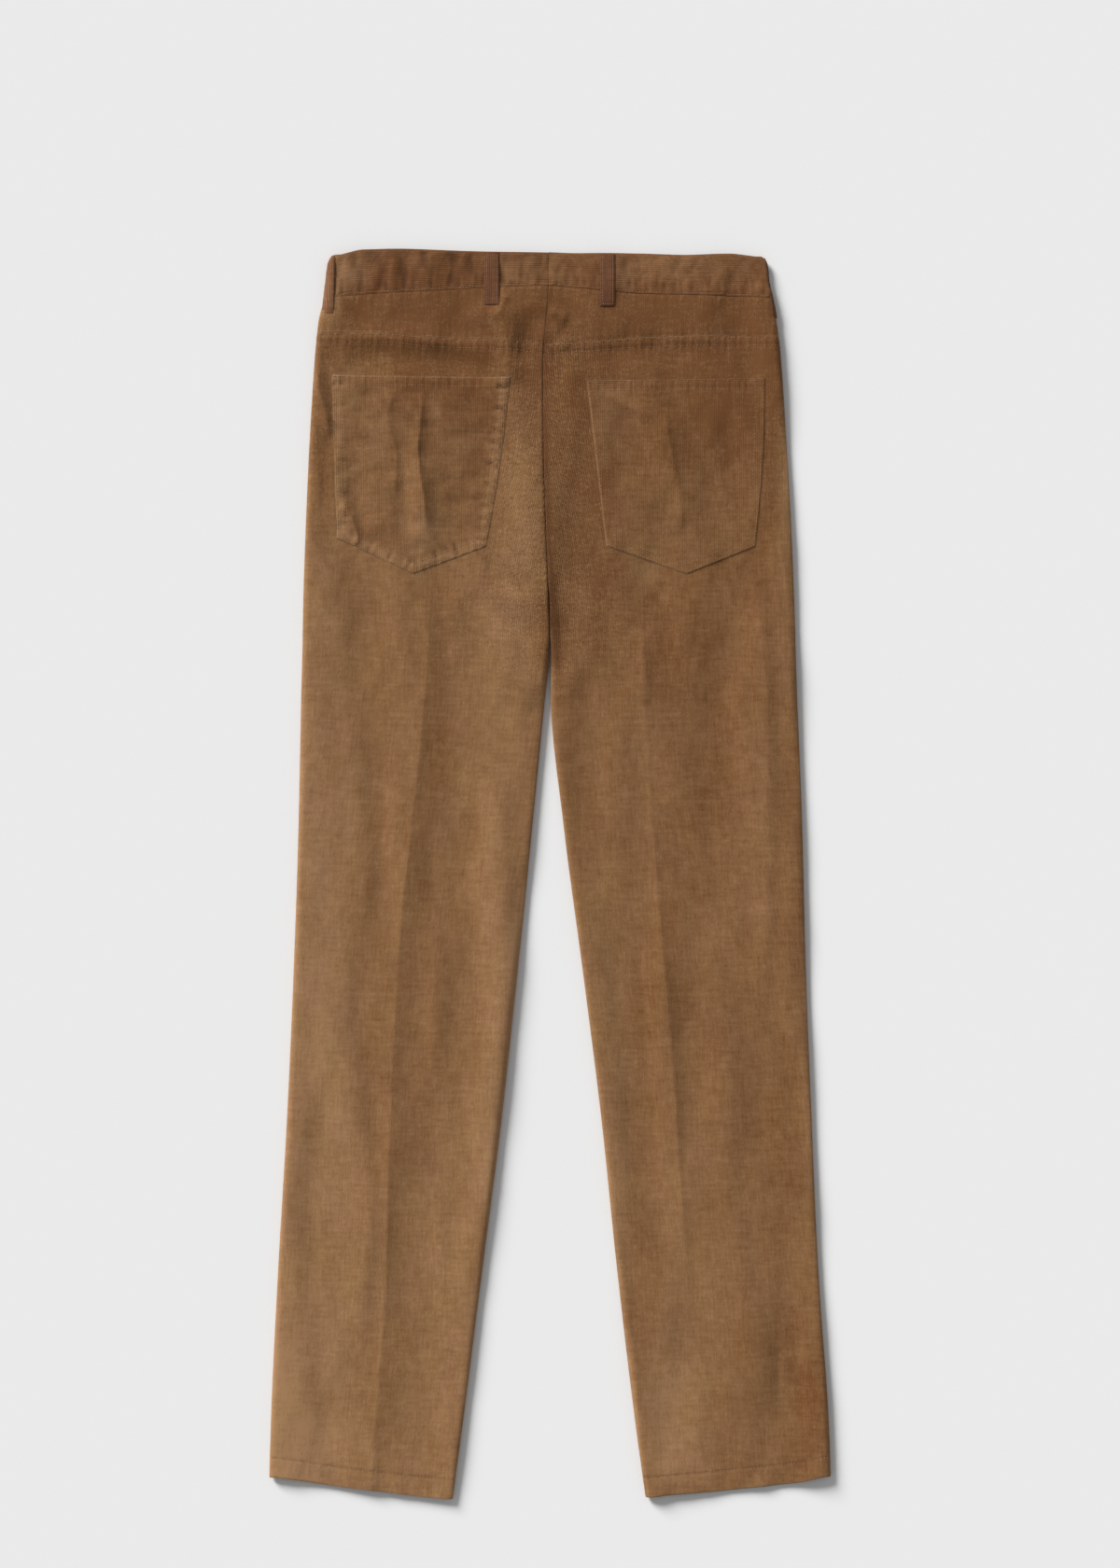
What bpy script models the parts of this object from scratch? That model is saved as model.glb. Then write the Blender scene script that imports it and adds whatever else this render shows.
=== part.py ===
"""Corduroy trousers laid flat on a table, back up, with the waist towards +Y.

Every piece is a wall of cloth between two grids of points. A place on the garment is given by
`down`, its distance below the highest point of the waist, and `x`, both in millimetres. Left and
right are as seen from above. The front panels lie flat on the table, the backs lie on them, and
each leg and the hips close in a rolled edge where the side seam and the inseam run.
"""

from collections import namedtuple
import math

import bmesh
import bpy
import numpy as np

MM = 0.001

# Driving dimensions, in millimetres
LENGTH = 1150.0  # from the waist to the lowest corner of a hem
CROTCH = 372.0  # how far down the four leg panels meet
LEG_CLOSING = 80.0  # above the crotch, where the centre seams turn into two inseams
EDGE_TURNING = 60.0  # above that, where the cloth at the centre seam begins to turn down
FRONT_CLOSING = 60.0  # above the crotch, where the centre front bends towards it
YOKE_SEAM = 85.0  # how far down the yokes end, about
FRONT_TOP = 56.0  # how far down the front panels begin at the centre
CLOTH = 1.3  # one layer of corduroy with its pile
BAND = 2.0  # the waistband, folded double
SEAM_GAP = 0.3  # between neighbouring pieces
POCKET_GAP = 0.45  # between a pocket and its panel, whose flat faces differ a little
ROLL = 6.5  # width of the rolled edge, seen from above
ROLL_ARC = 7.9  # length of the cloth from the flat round to the side seam
SEAM_ROLL = 1.5  # the same at the centre back seam
ROLL_FADE = 20.0  # how far past the rolled edge the cloth settles
SEAM_DIP = 0.6  # how far the centre back seam is drawn in
BAND_RISE = 0.7  # how far the waistband stands above the yoke
LOOP_WIDTH, SIDE_LOOP_WIDTH = 14.0, 10.5
LOOP_THICK = 1.8
LOOP_ARCH = 1.1  # slack of a belt loop in its middle
SIDE_LOOP_ARCH = 0.3  # the same of one over a side seam
LOOP_STEP = (10.0, 5.0)  # above its lower end, where it comes down from the band
LOOP_INSET = 1.0  # from the waistband's top edge to a loop's top end
BUTTON_RADIUS = 8.5
BUTTON_THICK = 2.1
BUTTON_EDGE = 0.6
BUTTON_DISH_RADIUS = 5.6
BUTTON_DISH_DEPTH = 0.5
BUTTON_X = 0.0
BUTTON_DOWN = 38.0
FRONT_LIFT = 2.5  # the front waistband lies on its loops and button
FRONT_LIFT_END = (74.0, 112.0)  # where that lift starts and stops fading

LEFT, RIGHT = "left", "right"
SIGN = {LEFT: -1.0, RIGHT: 1.0}


def table(names, *rows):
    """A table with named columns, a row for each place."""
    return {name: np.array(column, float) for name, column in zip(names, zip(*rows))}


# Outline: the side seams and the inner edges, which are one centre seam down to the crotch
OUTLINE = table(
    ("down", "side_left", "inner_left", "inner_right", "side_right"),
    (0, -195.5, -1.0, -1.0, 190.0),
    (14, -203.5, -1.0, -1.0, 199.4),
    (32, -206.0, -1.0, -1.0, 201.3),
    (44, -207.6, -1.5, -1.5, 204.0),
    (66, -213.0, -3.5, -3.5, 208.5),
    (100, -216.6, -6.0, -6.0, 212.8),
    (180, -221.6, -5.5, -5.5, 218.0),
    (250, -224.8, -3.5, -3.5, 222.0),
    (320, -227.2, -0.8, -0.8, 225.0),
    (372, -228.2, 0.3, 0.3, 226.5),
    (410, -229.2, -3.8, 0.3, 227.7),
    (530, -231.7, -15.6, 12.0, 232.4),
    (665, -236.2, -29.2, 29.8, 235.8),
    (800, -242.3, -43.8, 46.8, 241.0),
    (940, -250.5, -61.8, 61.4, 247.2),
    (1080, -257.2, -79.6, 78.0, 257.0),
    (1150, -259.0, -89.0, 87.7, 259.4),
)

# Lines across the garment, by the share of the way from the side seam to the centre
BACK_LINES = table(
    ("share", "waist_left", "band_left", "yoke_left", "hem_left",
     "waist_right", "band_right", "yoke_right", "hem_right"),
    (0.00, 5.5, 44.0, 77.0, 1130.2, 7.5, 45.0, 80.0, 1129.0),
    (0.10, 1.0, 42.6, 76.5, 1132.6, 5.0, 43.8, 79.8, 1134.4),
    (0.30, 0.0, 40.4, 77.0, 1138.2, 6.0, 42.4, 80.0, 1139.7),
    (0.50, 1.3, 38.6, 81.0, 1142.3, 4.6, 41.2, 81.5, 1144.0),
    (0.85, 3.2, 34.6, 83.6, 1148.2, 4.4, 36.0, 86.0, 1146.4),
    (1.00, 3.5, 33.5, 87.0, 1150.0, 3.5, 33.5, 87.0, 1148.0),
)
FRONT_LINES = table(
    ("share", "waist_left", "band_left", "hem_left", "waist_right", "band_right", "hem_right"),
    (0.0, 5.5, 44.0, 1130.2, 7.5, 45.0, 1129.0),
    (0.5, 15.0, 51.0, 1141.3, 16.0, 52.0, 1141.2),
    (1.0, 20.0, 56.0, 1150.0, 20.0, 56.0, 1148.0),
)

# Heights above the table: the back's flat part, and the top of its rolled edges
HEIGHTS = table(
    ("down", "flat", "rolled"),
    (0, 6.9, 7.0),
    (50, 6.9, 7.0),
    (110, 5.6, 6.4),
    (200, 5.2, 6.4),
    (372, 4.6, 6.4),
    (500, 4.2, 6.4),
    (1150, 3.9, 6.4),
)

# The pressed crease down each leg
CREASES = table(
    ("down", "left", "right"),
    (80, -112.0, 84.0),
    (370, -111.5, 85.0),
    (483, -122.0, 91.0),
    (611, -136.5, 101.0),
    (729, -143.5, 111.5),
    (828, -148.0, 118.0),
    (960, -149.5, 129.0),
    (1150, -164.0, 138.5),
)

# The largest folds: height is negative for a trough. left and right are the half-widths on either
# side of a fold that runs down; of one that runs across, left is below and right is above. taper
# is the length over which it dies away at each end, and path runs through (x, down) points.
Fold = namedtuple("Fold", "name height left right taper path")
FOLDS = (
    Fold("crease_left", 2.4, 13, 13, 60, ((-117, 318), (-111.5, 370), (-122, 483), (-136.5, 611),
                                          (-143.5, 729), (-148, 828), (-149.5, 960), (-154, 1026),
                                          (-162, 1100), (-165, 1170))),
    Fold("crease_right", 2.0, 13, 13, 60, ((83, 320), (84.8, 356), (87.7, 438), (95.5, 548),
                                           (106.5, 674), (114.5, 766), (121.5, 882), (130.5, 977),
                                           (135, 1060), (138, 1130))),
    Fold("pocket_ridge_left", 1.3, 24, 20, 40, ((-125, 128), (-121, 205), (-114, 290))),
    Fold("pocket_ridge_right", 1.0, 24, 20, 45, ((104, 150), (112, 212), (120, 280))),
    Fold("seat_ridge", 1.6, 34, 24, 60, ((12, 110), (12, 180), (9, 260), (3, 340), (0, 420))),
    Fold("seat_diagonal_left", 1.6, 16, 16, 30, ((-100, 300), (-74, 334), (-44, 358), (-20, 384))),
    Fold("seat_hollow_left", -0.8, 16, 16, 24, ((-62, 280), (-50, 300), (-32, 312), (-12, 318))),
    Fold("yoke_ridge_left", 1.2, 14, 13, 16, ((-58, 66), (-42, 62), (-40, 85), (-42, 108))),
    Fold("yoke_hollow_left", -0.9, 13, 13, 14, ((-26, 58), (-22, 78), (-22, 100), (-28, 122))),
    Fold("yoke_ridge_right", 0.9, 12, 12, 16, ((4, 58), (16, 78), (24, 98))),
    Fold("side_hollow_left", -0.9, 18, 14, 30, ((-207, 100), (-201, 148), (-204, 200), (-206, 250))),
    Fold("thigh_ridge_left", 1.6, 18, 15, 60, ((-194, 400), (-178, 480), (-170, 560), (-174, 640))),
    Fold("knee_ridge_left", 2.2, 24, 15, 80, ((-198, 630), (-186, 720), (-176, 800), (-168, 870),
                                              (-171, 950), (-180, 1040))),
    Fold("shin_hollow_left", -0.7, 15, 15, 60, ((-214, 770), (-219, 860), (-217, 990))),
    Fold("inner_ridge_left", 2.0, 22, 15, 90, ((-66, 430), (-50, 500), (-44, 600), (-44, 690),
                                               (-54, 780), (-66, 880))),
    Fold("outer_ridge_right", 2.2, 28, 15, 80, ((194, 310), (198, 440), (199, 560), (196, 640),
                                                (184, 730))),
    Fold("thigh_hollow_right", -0.7, 22, 22, 70, ((136, 380), (150, 460), (152, 560))),
    Fold("knee_ridge_right", 2.2, 28, 20, 90, ((136, 600), (156, 700), (166, 800), (170, 900),
                                               (174, 990), (186, 1090))),
    Fold("knee_hollow_right", -0.8, 22, 15, 80, ((74, 600), (86, 720), (95, 860), (98, 1010))),
)

# Patch pockets: corners as (x, down), from the side towards the centre
Pocket = namedtuple("Pocket", "top_outer top_inner bottom_inner point bottom_outer "
                    "outer_bow inner_bow")
POCKETS = {
    LEFT: Pocket((-201.0, 116.0), (-36.4, 118.0), (-58.5, 274.0), (-125.5, 299.0), (-196.0, 266.5),
                 0.0, 2.2),
    RIGHT: Pocket((198.0, 119.5), (33.8, 121.5), (51.5, 273.5), (126.0, 299.5), (189.0, 274.0),
                  2.6, 0.0),
}

# Belt loops on the flat of the band: middle x, and the lower end
Loop = namedtuple("Loop", "x low_end")
BACK_LOOPS = {LEFT: Loop(-53.5, 52.0), RIGHT: Loop(53.0, 53.5)}
FRONT_LOOPS = {LEFT: Loop(-108.0, 66.0), RIGHT: Loop(108.0, 67.0)}

# Belt loops over the side seams: x of the edge on the back at both ends, and the lower end
SideLoop = namedtuple("SideLoop", "top_x low_x low_end")
SIDE_LOOPS = {LEFT: SideLoop(-197.6, -198.4, 60.5), RIGHT: SideLoop(199.5, 203.6, 64.0)}

# How finely the cloth is divided
ROLL_ANGLES = (0.0, 22.5, 45.0, 67.5, 90.0)
BACK_STOPS = (0, 0.075, 0.15, 0.225, 0.3, 0.37, 0.435, 0.5, 0.565, 0.63, 0.7, 0.775, 0.85, 0.925, 1)
FRONT_STOPS = (0.0, 0.25, 0.5, 0.75, 1.0)
SEAT_STEP, LEG_STEP = 18.0, 36.0
LIFT_STEP, FRONT_STEP = 14.0, 44.0
SEAT_END = CROTCH + 20.0
YOKE_ROWS = 4
BAND_ROWS = 4
POCKET_GRID = (13, 12)
LOOP_GRID = (4, 10)
SIDE_LOOP_COLUMNS = 9
FRONT_LOOP_GRID = (3, 4)
BUTTON_SIDES = 20

# Colours, as linear red, green and blue
CORDUROY = (0.215, 0.110, 0.052)
CORDUROY_DARK = (0.150, 0.072, 0.032)
HORN = (0.060, 0.034, 0.018)


def slopes_at(places, values):
    """Slopes of a smooth curve through a column's rows, level at its peaks: it never overshoots."""
    rises = np.diff(values) / np.diff(places)
    before, after = rises[:-1], rises[1:]
    means = np.zeros_like(before)
    np.divide(2 * before * after, before + after, out=means, where=before * after > 0)
    return np.array([rises[0], *means, rises[-1]])


def read(curves, column, at):
    """A column of a table at the given places, on a smooth curve through its rows."""
    places, values = next(iter(curves.values())), curves[column]
    slopes = slopes_at(places, values)
    at = np.clip(np.asarray(at, float), places[0], places[-1])
    row = np.clip(np.searchsorted(places, at, side="right") - 1, 0, len(places) - 2)
    span = places[row + 1] - places[row]
    t = (at - places[row]) / span
    return (
        (2 * t**3 - 3 * t**2 + 1) * values[row]
        + (t**3 - 2 * t**2 + t) * span * slopes[row]
        + (3 * t**2 - 2 * t**3) * values[row + 1]
        + (t**3 - t**2) * span * slopes[row + 1]
    )


def ease(value, start, end):
    """0 before start, 1 after end, and a smooth step between them."""
    t = np.clip((np.asarray(value, float) - start) / (end - start), 0, 1)
    return t * t * (3 - 2 * t)


def to_path(x, down, path):
    """Distance from each place to a path of (x, down) points, how far along it, and its length.

    The distance is negative to the left of a path that runs down.
    """
    points = np.array(path, float)
    nearest = np.full(np.shape(x), np.inf)
    along = np.zeros(np.shape(x))
    walked = 0.0
    for start, end in zip(points[:-1], points[1:]):
        leg = end - start
        long = math.hypot(*leg)
        from_start = x - start[0], down - start[1]
        t = np.clip((from_start[0] * leg[0] + from_start[1] * leg[1]) / long**2, 0, 1)
        away = np.hypot(from_start[0] - t * leg[0], from_start[1] - t * leg[1])
        away = np.where(from_start[0] * leg[1] < from_start[1] * leg[0], -away, away)
        closer = np.abs(away) < np.abs(nearest)
        along = np.where(closer, walked + t * long, along)
        nearest = np.where(closer, away, nearest)
        walked += long
    return nearest, along, walked


def folds(x, down):
    """Sum of the folds' heights."""
    total = np.zeros(np.shape(x))
    for fold in FOLDS:
        away, along, long = to_path(x, down, fold.path)
        ends = ease(along, 0, fold.taper) * ease(long - along, 0, fold.taper)
        half_width = np.where(away < 0, fold.left, fold.right)
        total += fold.height * ends * np.exp(-((away / half_width) ** 2))
    return total


def underside(down):
    """Height of the front's outer face: on the table, but for the lift at the waist."""
    return FRONT_LIFT * (1 - ease(down, *FRONT_LIFT_END))


def edge_middle(down):
    """Height of the side seam and the inseam, half way up the rolled edge."""
    return (underside(down) + read(HEIGHTS, "rolled", down)) / 2


def leg_share(down):
    """0 where the panels' inner edges meet in the centre seam, 1 where they close a leg."""
    return ease(down, CROTCH - LEG_CLOSING, CROTCH)


def inner_turn(down):
    """0 where a panel's inner edge is cut square, 1 where the cloth turns down into a roll."""
    return ease(down, CROTCH - LEG_CLOSING - EDGE_TURNING, CROTCH - LEG_CLOSING)


def back_height(x, down, to_side, to_inner):
    """Height of the back's outer face, given the distances to the panel's two edges."""
    flat = read(HEIGHTS, "flat", down)
    rolled = read(HEIGHTS, "rolled", down)
    near_side = np.exp(-((np.maximum(to_side - ROLL, 0) / ROLL_FADE) ** 2))
    near_inner = np.exp(-((np.maximum(to_inner - ROLL, 0) / ROLL_FADE) ** 2)) * leg_share(down)
    return flat + (rolled - flat) * np.maximum(near_side, near_inner) + folds(x, down)


def panel_height(x, down, side):
    """Height of the back's outer face at a place on the flat of one side."""
    to_side = np.abs(read(OUTLINE, f"side_{side}", down) - x)
    to_inner = np.abs(read(OUTLINE, f"inner_{side}", down) - x)
    return back_height(x, down, to_side, to_inner)


def columns(stops):
    """Columns from the side edge to the inner edge: (side angle, stop, inner angle)."""
    rolls = [(angle, 0.0, 90.0) for angle in ROLL_ANGLES[:-1]]
    flats = [(90.0, stop, 90.0) for stop in stops]
    return rolls + flats + [(90.0, 1.0, angle) for angle in reversed(ROLL_ANGLES[:-1])]


def rows(start, fine_end, fine, coarse):
    """Shares from 0 to 1 down a panel, with fine steps first and coarse ones to the hem."""
    places = [start]
    while places[-1] < LENGTH:
        places.append(places[-1] + (fine if places[-1] < fine_end else coarse))
    return (np.array(places) - start) / (places[-1] - start)


def follow_crease(stop, down, side):
    """Share of the flat width at a stop, where stop 0.5 is the pressed crease."""
    side_x, inner_x = (read(OUTLINE, f"{edge}_{side}", down) for edge in ("side", "inner"))
    crease = (read(CREASES, side, down) - side_x) / (inner_x - side_x)
    return np.where(stop < 0.5, stop * 2 * crease, crease + (stop * 2 - 1) * (1 - crease))


def lay_panel(side, cols, top, bottom, shares, front, inner_x=None):
    """Outer and inner grids of a panel between two lines across the garment.

    top and bottom give `down` for the share of the way from the side seam to the centre.
    A column's angles say where it is on the rolled edges: 90 is the flat, 0 is the seam.
    """
    side_angle, stop, inner_angle = (np.array(part)[None, :] for part in zip(*cols))
    shares = np.array(shares)[:, None]
    down = top(stop) + (bottom(stop) - top(stop)) * shares
    side_x = read(OUTLINE, f"side_{side}", down)
    inner_x = read(OUTLINE, f"inner_{side}", down) if inner_x is None else inner_x(down)
    inner_x = inner_x + SIGN[side] * SEAM_GAP / 2
    across = np.sign(inner_x - side_x)
    width = np.abs(inner_x - side_x)

    side_cos, side_sin = np.cos(np.radians(side_angle)), np.sin(np.radians(side_angle))
    inner_cos, inner_sin = np.cos(np.radians(inner_angle)), np.sin(np.radians(inner_angle))
    turn, legs = inner_turn(down), leg_share(down)
    inner_roll = SEAM_ROLL + (ROLL - SEAM_ROLL) * legs
    share = stop if front else follow_crease(stop, down, side)
    to_side = ROLL + (width - ROLL - inner_roll) * share - ROLL * side_cos
    to_side = to_side + inner_roll * inner_cos
    x = side_x + across * to_side

    middle = edge_middle(down)
    if front:
        crown, side_seam = underside(down), middle - SEAM_GAP / 2
        inner_seam = crown + (side_seam - crown) * legs
    else:
        crown, side_seam = back_height(x, down, to_side, width - to_side), middle + SEAM_GAP / 2
        inner_seam = crown - SEAM_DIP + (side_seam - crown + SEAM_DIP) * legs
    height = side_seam + (crown - side_seam) * side_sin
    height = np.where(inner_sin < 1, inner_seam + (crown - inner_seam) * inner_sin, height)

    inwards = across * (side_cos - turn * inner_cos)
    upwards = side_sin * (turn * inner_sin + 1 - turn) * (1.0 if front else -1.0)
    long = np.hypot(inwards, upwards)
    outer = np.stack([x, LENGTH / 2 - down, height], axis=-1)
    step = np.stack([inwards / long, np.zeros_like(x), upwards / long], axis=-1)
    return outer, outer + CLOTH * step


def line(curves, name, gap=0.0):
    """A line across the garment as a function of the share from the side to the centre."""
    return lambda share: read(curves, name, share) + gap


def wall(name, outer, inner, material):
    """A closed wall of cloth between two grids of points, rows by columns, in millimetres."""
    n_rows, n_cols = outer.shape[:2]
    size = n_rows * n_cols
    points = np.concatenate([outer.reshape(-1, 3), inner.reshape(-1, 3)]) * MM
    number = np.arange(size).reshape(n_rows, n_cols)
    quads = []
    for r in range(n_rows - 1):
        for c in range(n_cols - 1):
            a, b, d, e = number[r, c], number[r, c + 1], number[r + 1, c + 1], number[r + 1, c]
            quads += [(a, b, d, e), (a + size, e + size, d + size, b + size)]
    rim = [*number[0], *number[1:, -1], *number[-1, -2::-1], *number[-2:0:-1, 0]]
    for a, b in zip(rim, rim[1:] + rim[:1]):
        quads.append((a, a + size, b + size, b))
    mesh = bpy.data.meshes.new(name)
    mesh.from_pydata(points.tolist(), [], [[int(i) for i in quad] for quad in quads])
    return finish(name, mesh, material)


def finish(name, mesh, material):
    """Turns the faces outwards, shades the mesh and puts it in the scene."""
    shape = bmesh.new()
    shape.from_mesh(mesh)
    bmesh.ops.recalc_face_normals(shape, faces=shape.faces)
    shape.to_mesh(mesh)
    shape.free()
    mesh.materials.append(material)
    mesh.shade_smooth()
    mesh.set_sharp_from_angle(angle=math.radians(50))
    made = bpy.data.objects.new(name, mesh)
    bpy.context.scene.collection.objects.link(made)
    return made


def cloth(name, colour, roughness=0.9):
    """A plain material."""
    material = bpy.data.materials.new(name)
    material.use_nodes = True
    shader = material.node_tree.nodes["Principled BSDF"]
    shader.inputs["Base Color"].default_value = (*colour, 1.0)
    shader.inputs["Roughness"].default_value = roughness
    shader.inputs["Metallic"].default_value = 0.0
    return material


def back_panels(side, material):
    """The yoke and the back leg panel of one side."""
    band = line(BACK_LINES, f"band_{side}", SEAM_GAP)
    yoke_above = line(BACK_LINES, f"yoke_{side}")
    yoke_below = line(BACK_LINES, f"yoke_{side}", SEAM_GAP)
    hem = line(BACK_LINES, f"hem_{side}")
    cols = columns(BACK_STOPS)
    shares = np.linspace(0, 1, YOKE_ROWS)
    wall(f"yoke_{side}",
         *lay_panel(side, cols, band, yoke_above, shares, front=False), material)
    shares = rows(YOKE_SEAM, SEAT_END, SEAT_STEP, LEG_STEP)
    wall(f"back_{side}",
         *lay_panel(side, cols, yoke_below, hem, shares, front=False), material)


def front_panel(side, material):
    """The front leg panel of one side, which lies on the table."""
    def centre_front(down):
        below = read(OUTLINE, f"inner_{side}", down)
        return below * ease(down, CROTCH - FRONT_CLOSING, CROTCH)

    top = line(FRONT_LINES, f"band_{side}", SEAM_GAP)
    hem = line(FRONT_LINES, f"hem_{side}")
    shares = rows(FRONT_TOP, FRONT_LIFT_END[1], LIFT_STEP, FRONT_STEP)
    wall(f"front_{side}",
         *lay_panel(side, columns(FRONT_STOPS), top, hem, shares, front=True, inner_x=centre_front),
         material)


def band_section(side, share, under, v):
    """`down` of a place on the waistband: v runs from its top edge to its lower edge."""
    lines = FRONT_LINES if under else BACK_LINES
    top = read(lines, f"waist_{side}", share)
    return top + (read(lines, f"band_{side}", share) - top) * v


def band_faces(down):
    """Heights of the waistband's two outer faces: the back on top, the front beneath."""
    return read(HEIGHTS, "flat", down) + BAND_RISE, underside(down)


def waistband(side, material):
    """One half of the waistband, from the centre back round the side to the centre front."""
    heights_across = np.linspace(0, 1, BAND_ROWS)
    back = [(90.0, stop, False) for stop in reversed(BACK_STOPS)]
    angles = ROLL_ANGLES[-2::-1]
    edge = [(angle, 0.0, False) for angle in angles] + [(-angle, 0.0, True) for angle in ROLL_ANGLES[1:-1]]
    front = [(-90.0, stop, True) for stop in FRONT_STOPS]
    outer, inner = [], []
    for angle, stop, under in back + edge + front:
        cos, sin = math.cos(math.radians(angle)), math.sin(math.radians(angle))
        down = band_section(side, stop, under, heights_across)
        side_x = read(OUTLINE, f"side_{side}", down)
        centre_x = 0.0 if under else read(OUTLINE, f"inner_{side}", down)
        centre_x = centre_x + SIGN[side] * SEAM_GAP / 2
        across = np.sign(centre_x - side_x)
        share = stop if under else follow_crease(stop, down, side)
        x = side_x + across * (ROLL + (np.abs(centre_x - side_x) - ROLL) * share - ROLL * cos)
        above, below = band_faces(down)
        middle, half = (above + below) / 2, (above - below) / 2
        bumps = folds(x, down) * (angle > 0)
        outer.append(np.stack([x, LENGTH / 2 - down, middle + half * sin + bumps], axis=-1))
        step = np.stack([across * cos, np.zeros_like(x), np.full_like(x, -sin)], axis=-1)
        inner.append(outer[-1] + BAND * step)
    wall(f"waistband_{side}", np.array(outer), np.array(inner), material)


def pocket(side, material):
    """A pointed patch pocket, its points moved out from the panel that it lies on."""
    corners = POCKETS[side]
    u, v = (np.linspace(0, 1, count) for count in POCKET_GRID)
    u, v = u[None, :, None], v[:, None, None]
    outer_top, inner_top, inner_low, point, outer_low = (np.array(corner) for corner in corners[:5])
    top = outer_top + (inner_top - outer_top) * u
    low = np.where(u < 0.5, outer_low + (point - outer_low) * 2 * u,
                   point + (inner_low - point) * (2 * u - 1))
    place = top + (low - top) * v
    bow = (corners.outer_bow * (1 - u) - corners.inner_bow * u) * np.sin(np.pi * v)
    x, down = place[..., 0] + SIGN[side] * bow[..., 0], place[..., 1]
    under = panel_height(x, down, side) + POCKET_GAP
    lower = np.stack([x, LENGTH / 2 - down, under], axis=-1)
    wall(f"pocket_{side}", lower + (0, 0, CLOTH), lower, material)


def loop_slack(v, arch=LOOP_ARCH):
    """Height of a belt loop's arch, at a share of its length."""
    return arch * np.sin(np.pi * v) ** 0.5


def back_loop(side, material):
    """A belt loop on the back, from the waistband's top edge to the yoke below it."""
    x_middle, low_end = BACK_LOOPS[side]
    x = x_middle + LOOP_WIDTH * np.linspace(-0.5, 0.5, LOOP_GRID[0])[None, :]
    v = np.linspace(0, 1, LOOP_GRID[1])[:, None]
    share = 1 - np.abs(x_middle / read(OUTLINE, f"side_{side}", 0))
    start = read(BACK_LINES, f"waist_{side}", share) + LOOP_INSET
    down = start + (low_end - start) * v + 0 * x
    x = x + 0 * down
    rise = BAND_RISE * ease(low_end - down, LOOP_STEP[1], LOOP_STEP[0])
    under = panel_height(x, down, side) + rise + SEAM_GAP + loop_slack(v)
    lower = np.stack([x, LENGTH / 2 - down, under], axis=-1)
    wall(f"loop_back_{side}", lower + (0, 0, LOOP_THICK), lower, material)


def round_edge(inside, walked):
    """A place on the cloth at a side seam, walked outwards from `inside` of the rolled edge.

    It gives the distance on the flat from the roll, and the angle round the roll: 90 degrees
    where it starts on the back, and -90 where it ends on the front.
    """
    on_roll = np.arccos(np.clip(1 - inside / ROLL, 0, 1)) / (math.pi / 2)
    gone = (1 - on_roll) * ROLL_ARC - np.maximum(inside - ROLL, 0) + walked
    beside = np.maximum(-gone, 0) + np.maximum(gone - 2 * ROLL_ARC, 0)
    return beside, (1 - np.clip(gone / ROLL_ARC, 0, 2)) * math.pi / 2


def side_loop(side, material):
    """A belt loop over the side seam, wrapped round the rolled edge."""
    loop = SIDE_LOOPS[side]
    share = np.linspace(0, 1, SIDE_LOOP_COLUMNS)[None, :]
    v = np.linspace(0, 1, LOOP_GRID[1])[:, None]
    start = read(BACK_LINES, f"waist_{side}", 0.0) + LOOP_INSET
    down = start + (loop.low_end - start) * v
    side_x = read(OUTLINE, f"side_{side}", down)
    inside = np.maximum(np.abs(side_x) - np.abs(loop.top_x + (loop.low_x - loop.top_x) * v), 0)
    beside, angle = round_edge(inside, share * SIDE_LOOP_WIDTH)
    above, below = band_faces(down)
    away = SEAM_GAP + loop_slack(v, SIDE_LOOP_ARCH)

    def skin(offset):
        x = side_x - SIGN[side] * (ROLL + beside - (ROLL + offset) * np.cos(angle))
        height = (above + below) / 2 + ((above - below) / 2 + offset) * np.sin(angle)
        return np.stack([x, LENGTH / 2 - down + 0 * x, height], axis=-1)

    wall(f"loop_side_{side}", skin(away + LOOP_THICK), skin(away), material)


def front_loop(side, material):
    """A belt loop under the front waistband, pressed flat against the table."""
    x_middle, low_end = FRONT_LOOPS[side]
    x = x_middle + LOOP_WIDTH * np.linspace(-0.5, 0.5, FRONT_LOOP_GRID[0])[None, :]
    start = read(FRONT_LINES, f"waist_{side}", 0.5) + LOOP_INSET
    down = np.linspace(start, low_end, FRONT_LOOP_GRID[1])[:, None]
    lower = np.stack([x + 0 * down, LENGTH / 2 - down + 0 * x, 0 * (x + down)], axis=-1)
    wall(f"loop_front_{side}", lower + (0, 0, LOOP_THICK), lower, material)


def waist_button(material):
    """The button under the centre front, face down, with a dished face."""
    profile = (
        (0.0, BUTTON_DISH_DEPTH),
        (BUTTON_DISH_RADIUS, BUTTON_DISH_DEPTH),
        (BUTTON_DISH_RADIUS + BUTTON_EDGE, 0.0),
        (BUTTON_RADIUS - BUTTON_EDGE, 0.0),
        (BUTTON_RADIUS, BUTTON_EDGE),
        (BUTTON_RADIUS, BUTTON_THICK - BUTTON_EDGE),
        (BUTTON_RADIUS - BUTTON_EDGE, BUTTON_THICK),
        (0.0, BUTTON_THICK),
    )
    shape = bmesh.new()
    ring = [shape.verts.new((radius * MM, 0, height * MM)) for radius, height in profile]
    edges = [shape.edges.new(pair) for pair in zip(ring[:-1], ring[1:])]
    bmesh.ops.spin(shape, geom=ring + edges, cent=(0, 0, 0), axis=(0, 0, 1),
                   angle=math.tau, steps=BUTTON_SIDES, use_merge=True)
    bmesh.ops.remove_doubles(shape, verts=shape.verts, dist=0.01 * MM)
    mesh = bpy.data.meshes.new("waist_button")
    shape.to_mesh(mesh)
    shape.free()
    made = finish("waist_button", mesh, material)
    made.location = (BUTTON_X * MM, (LENGTH / 2 - BUTTON_DOWN) * MM, 0)


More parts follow.
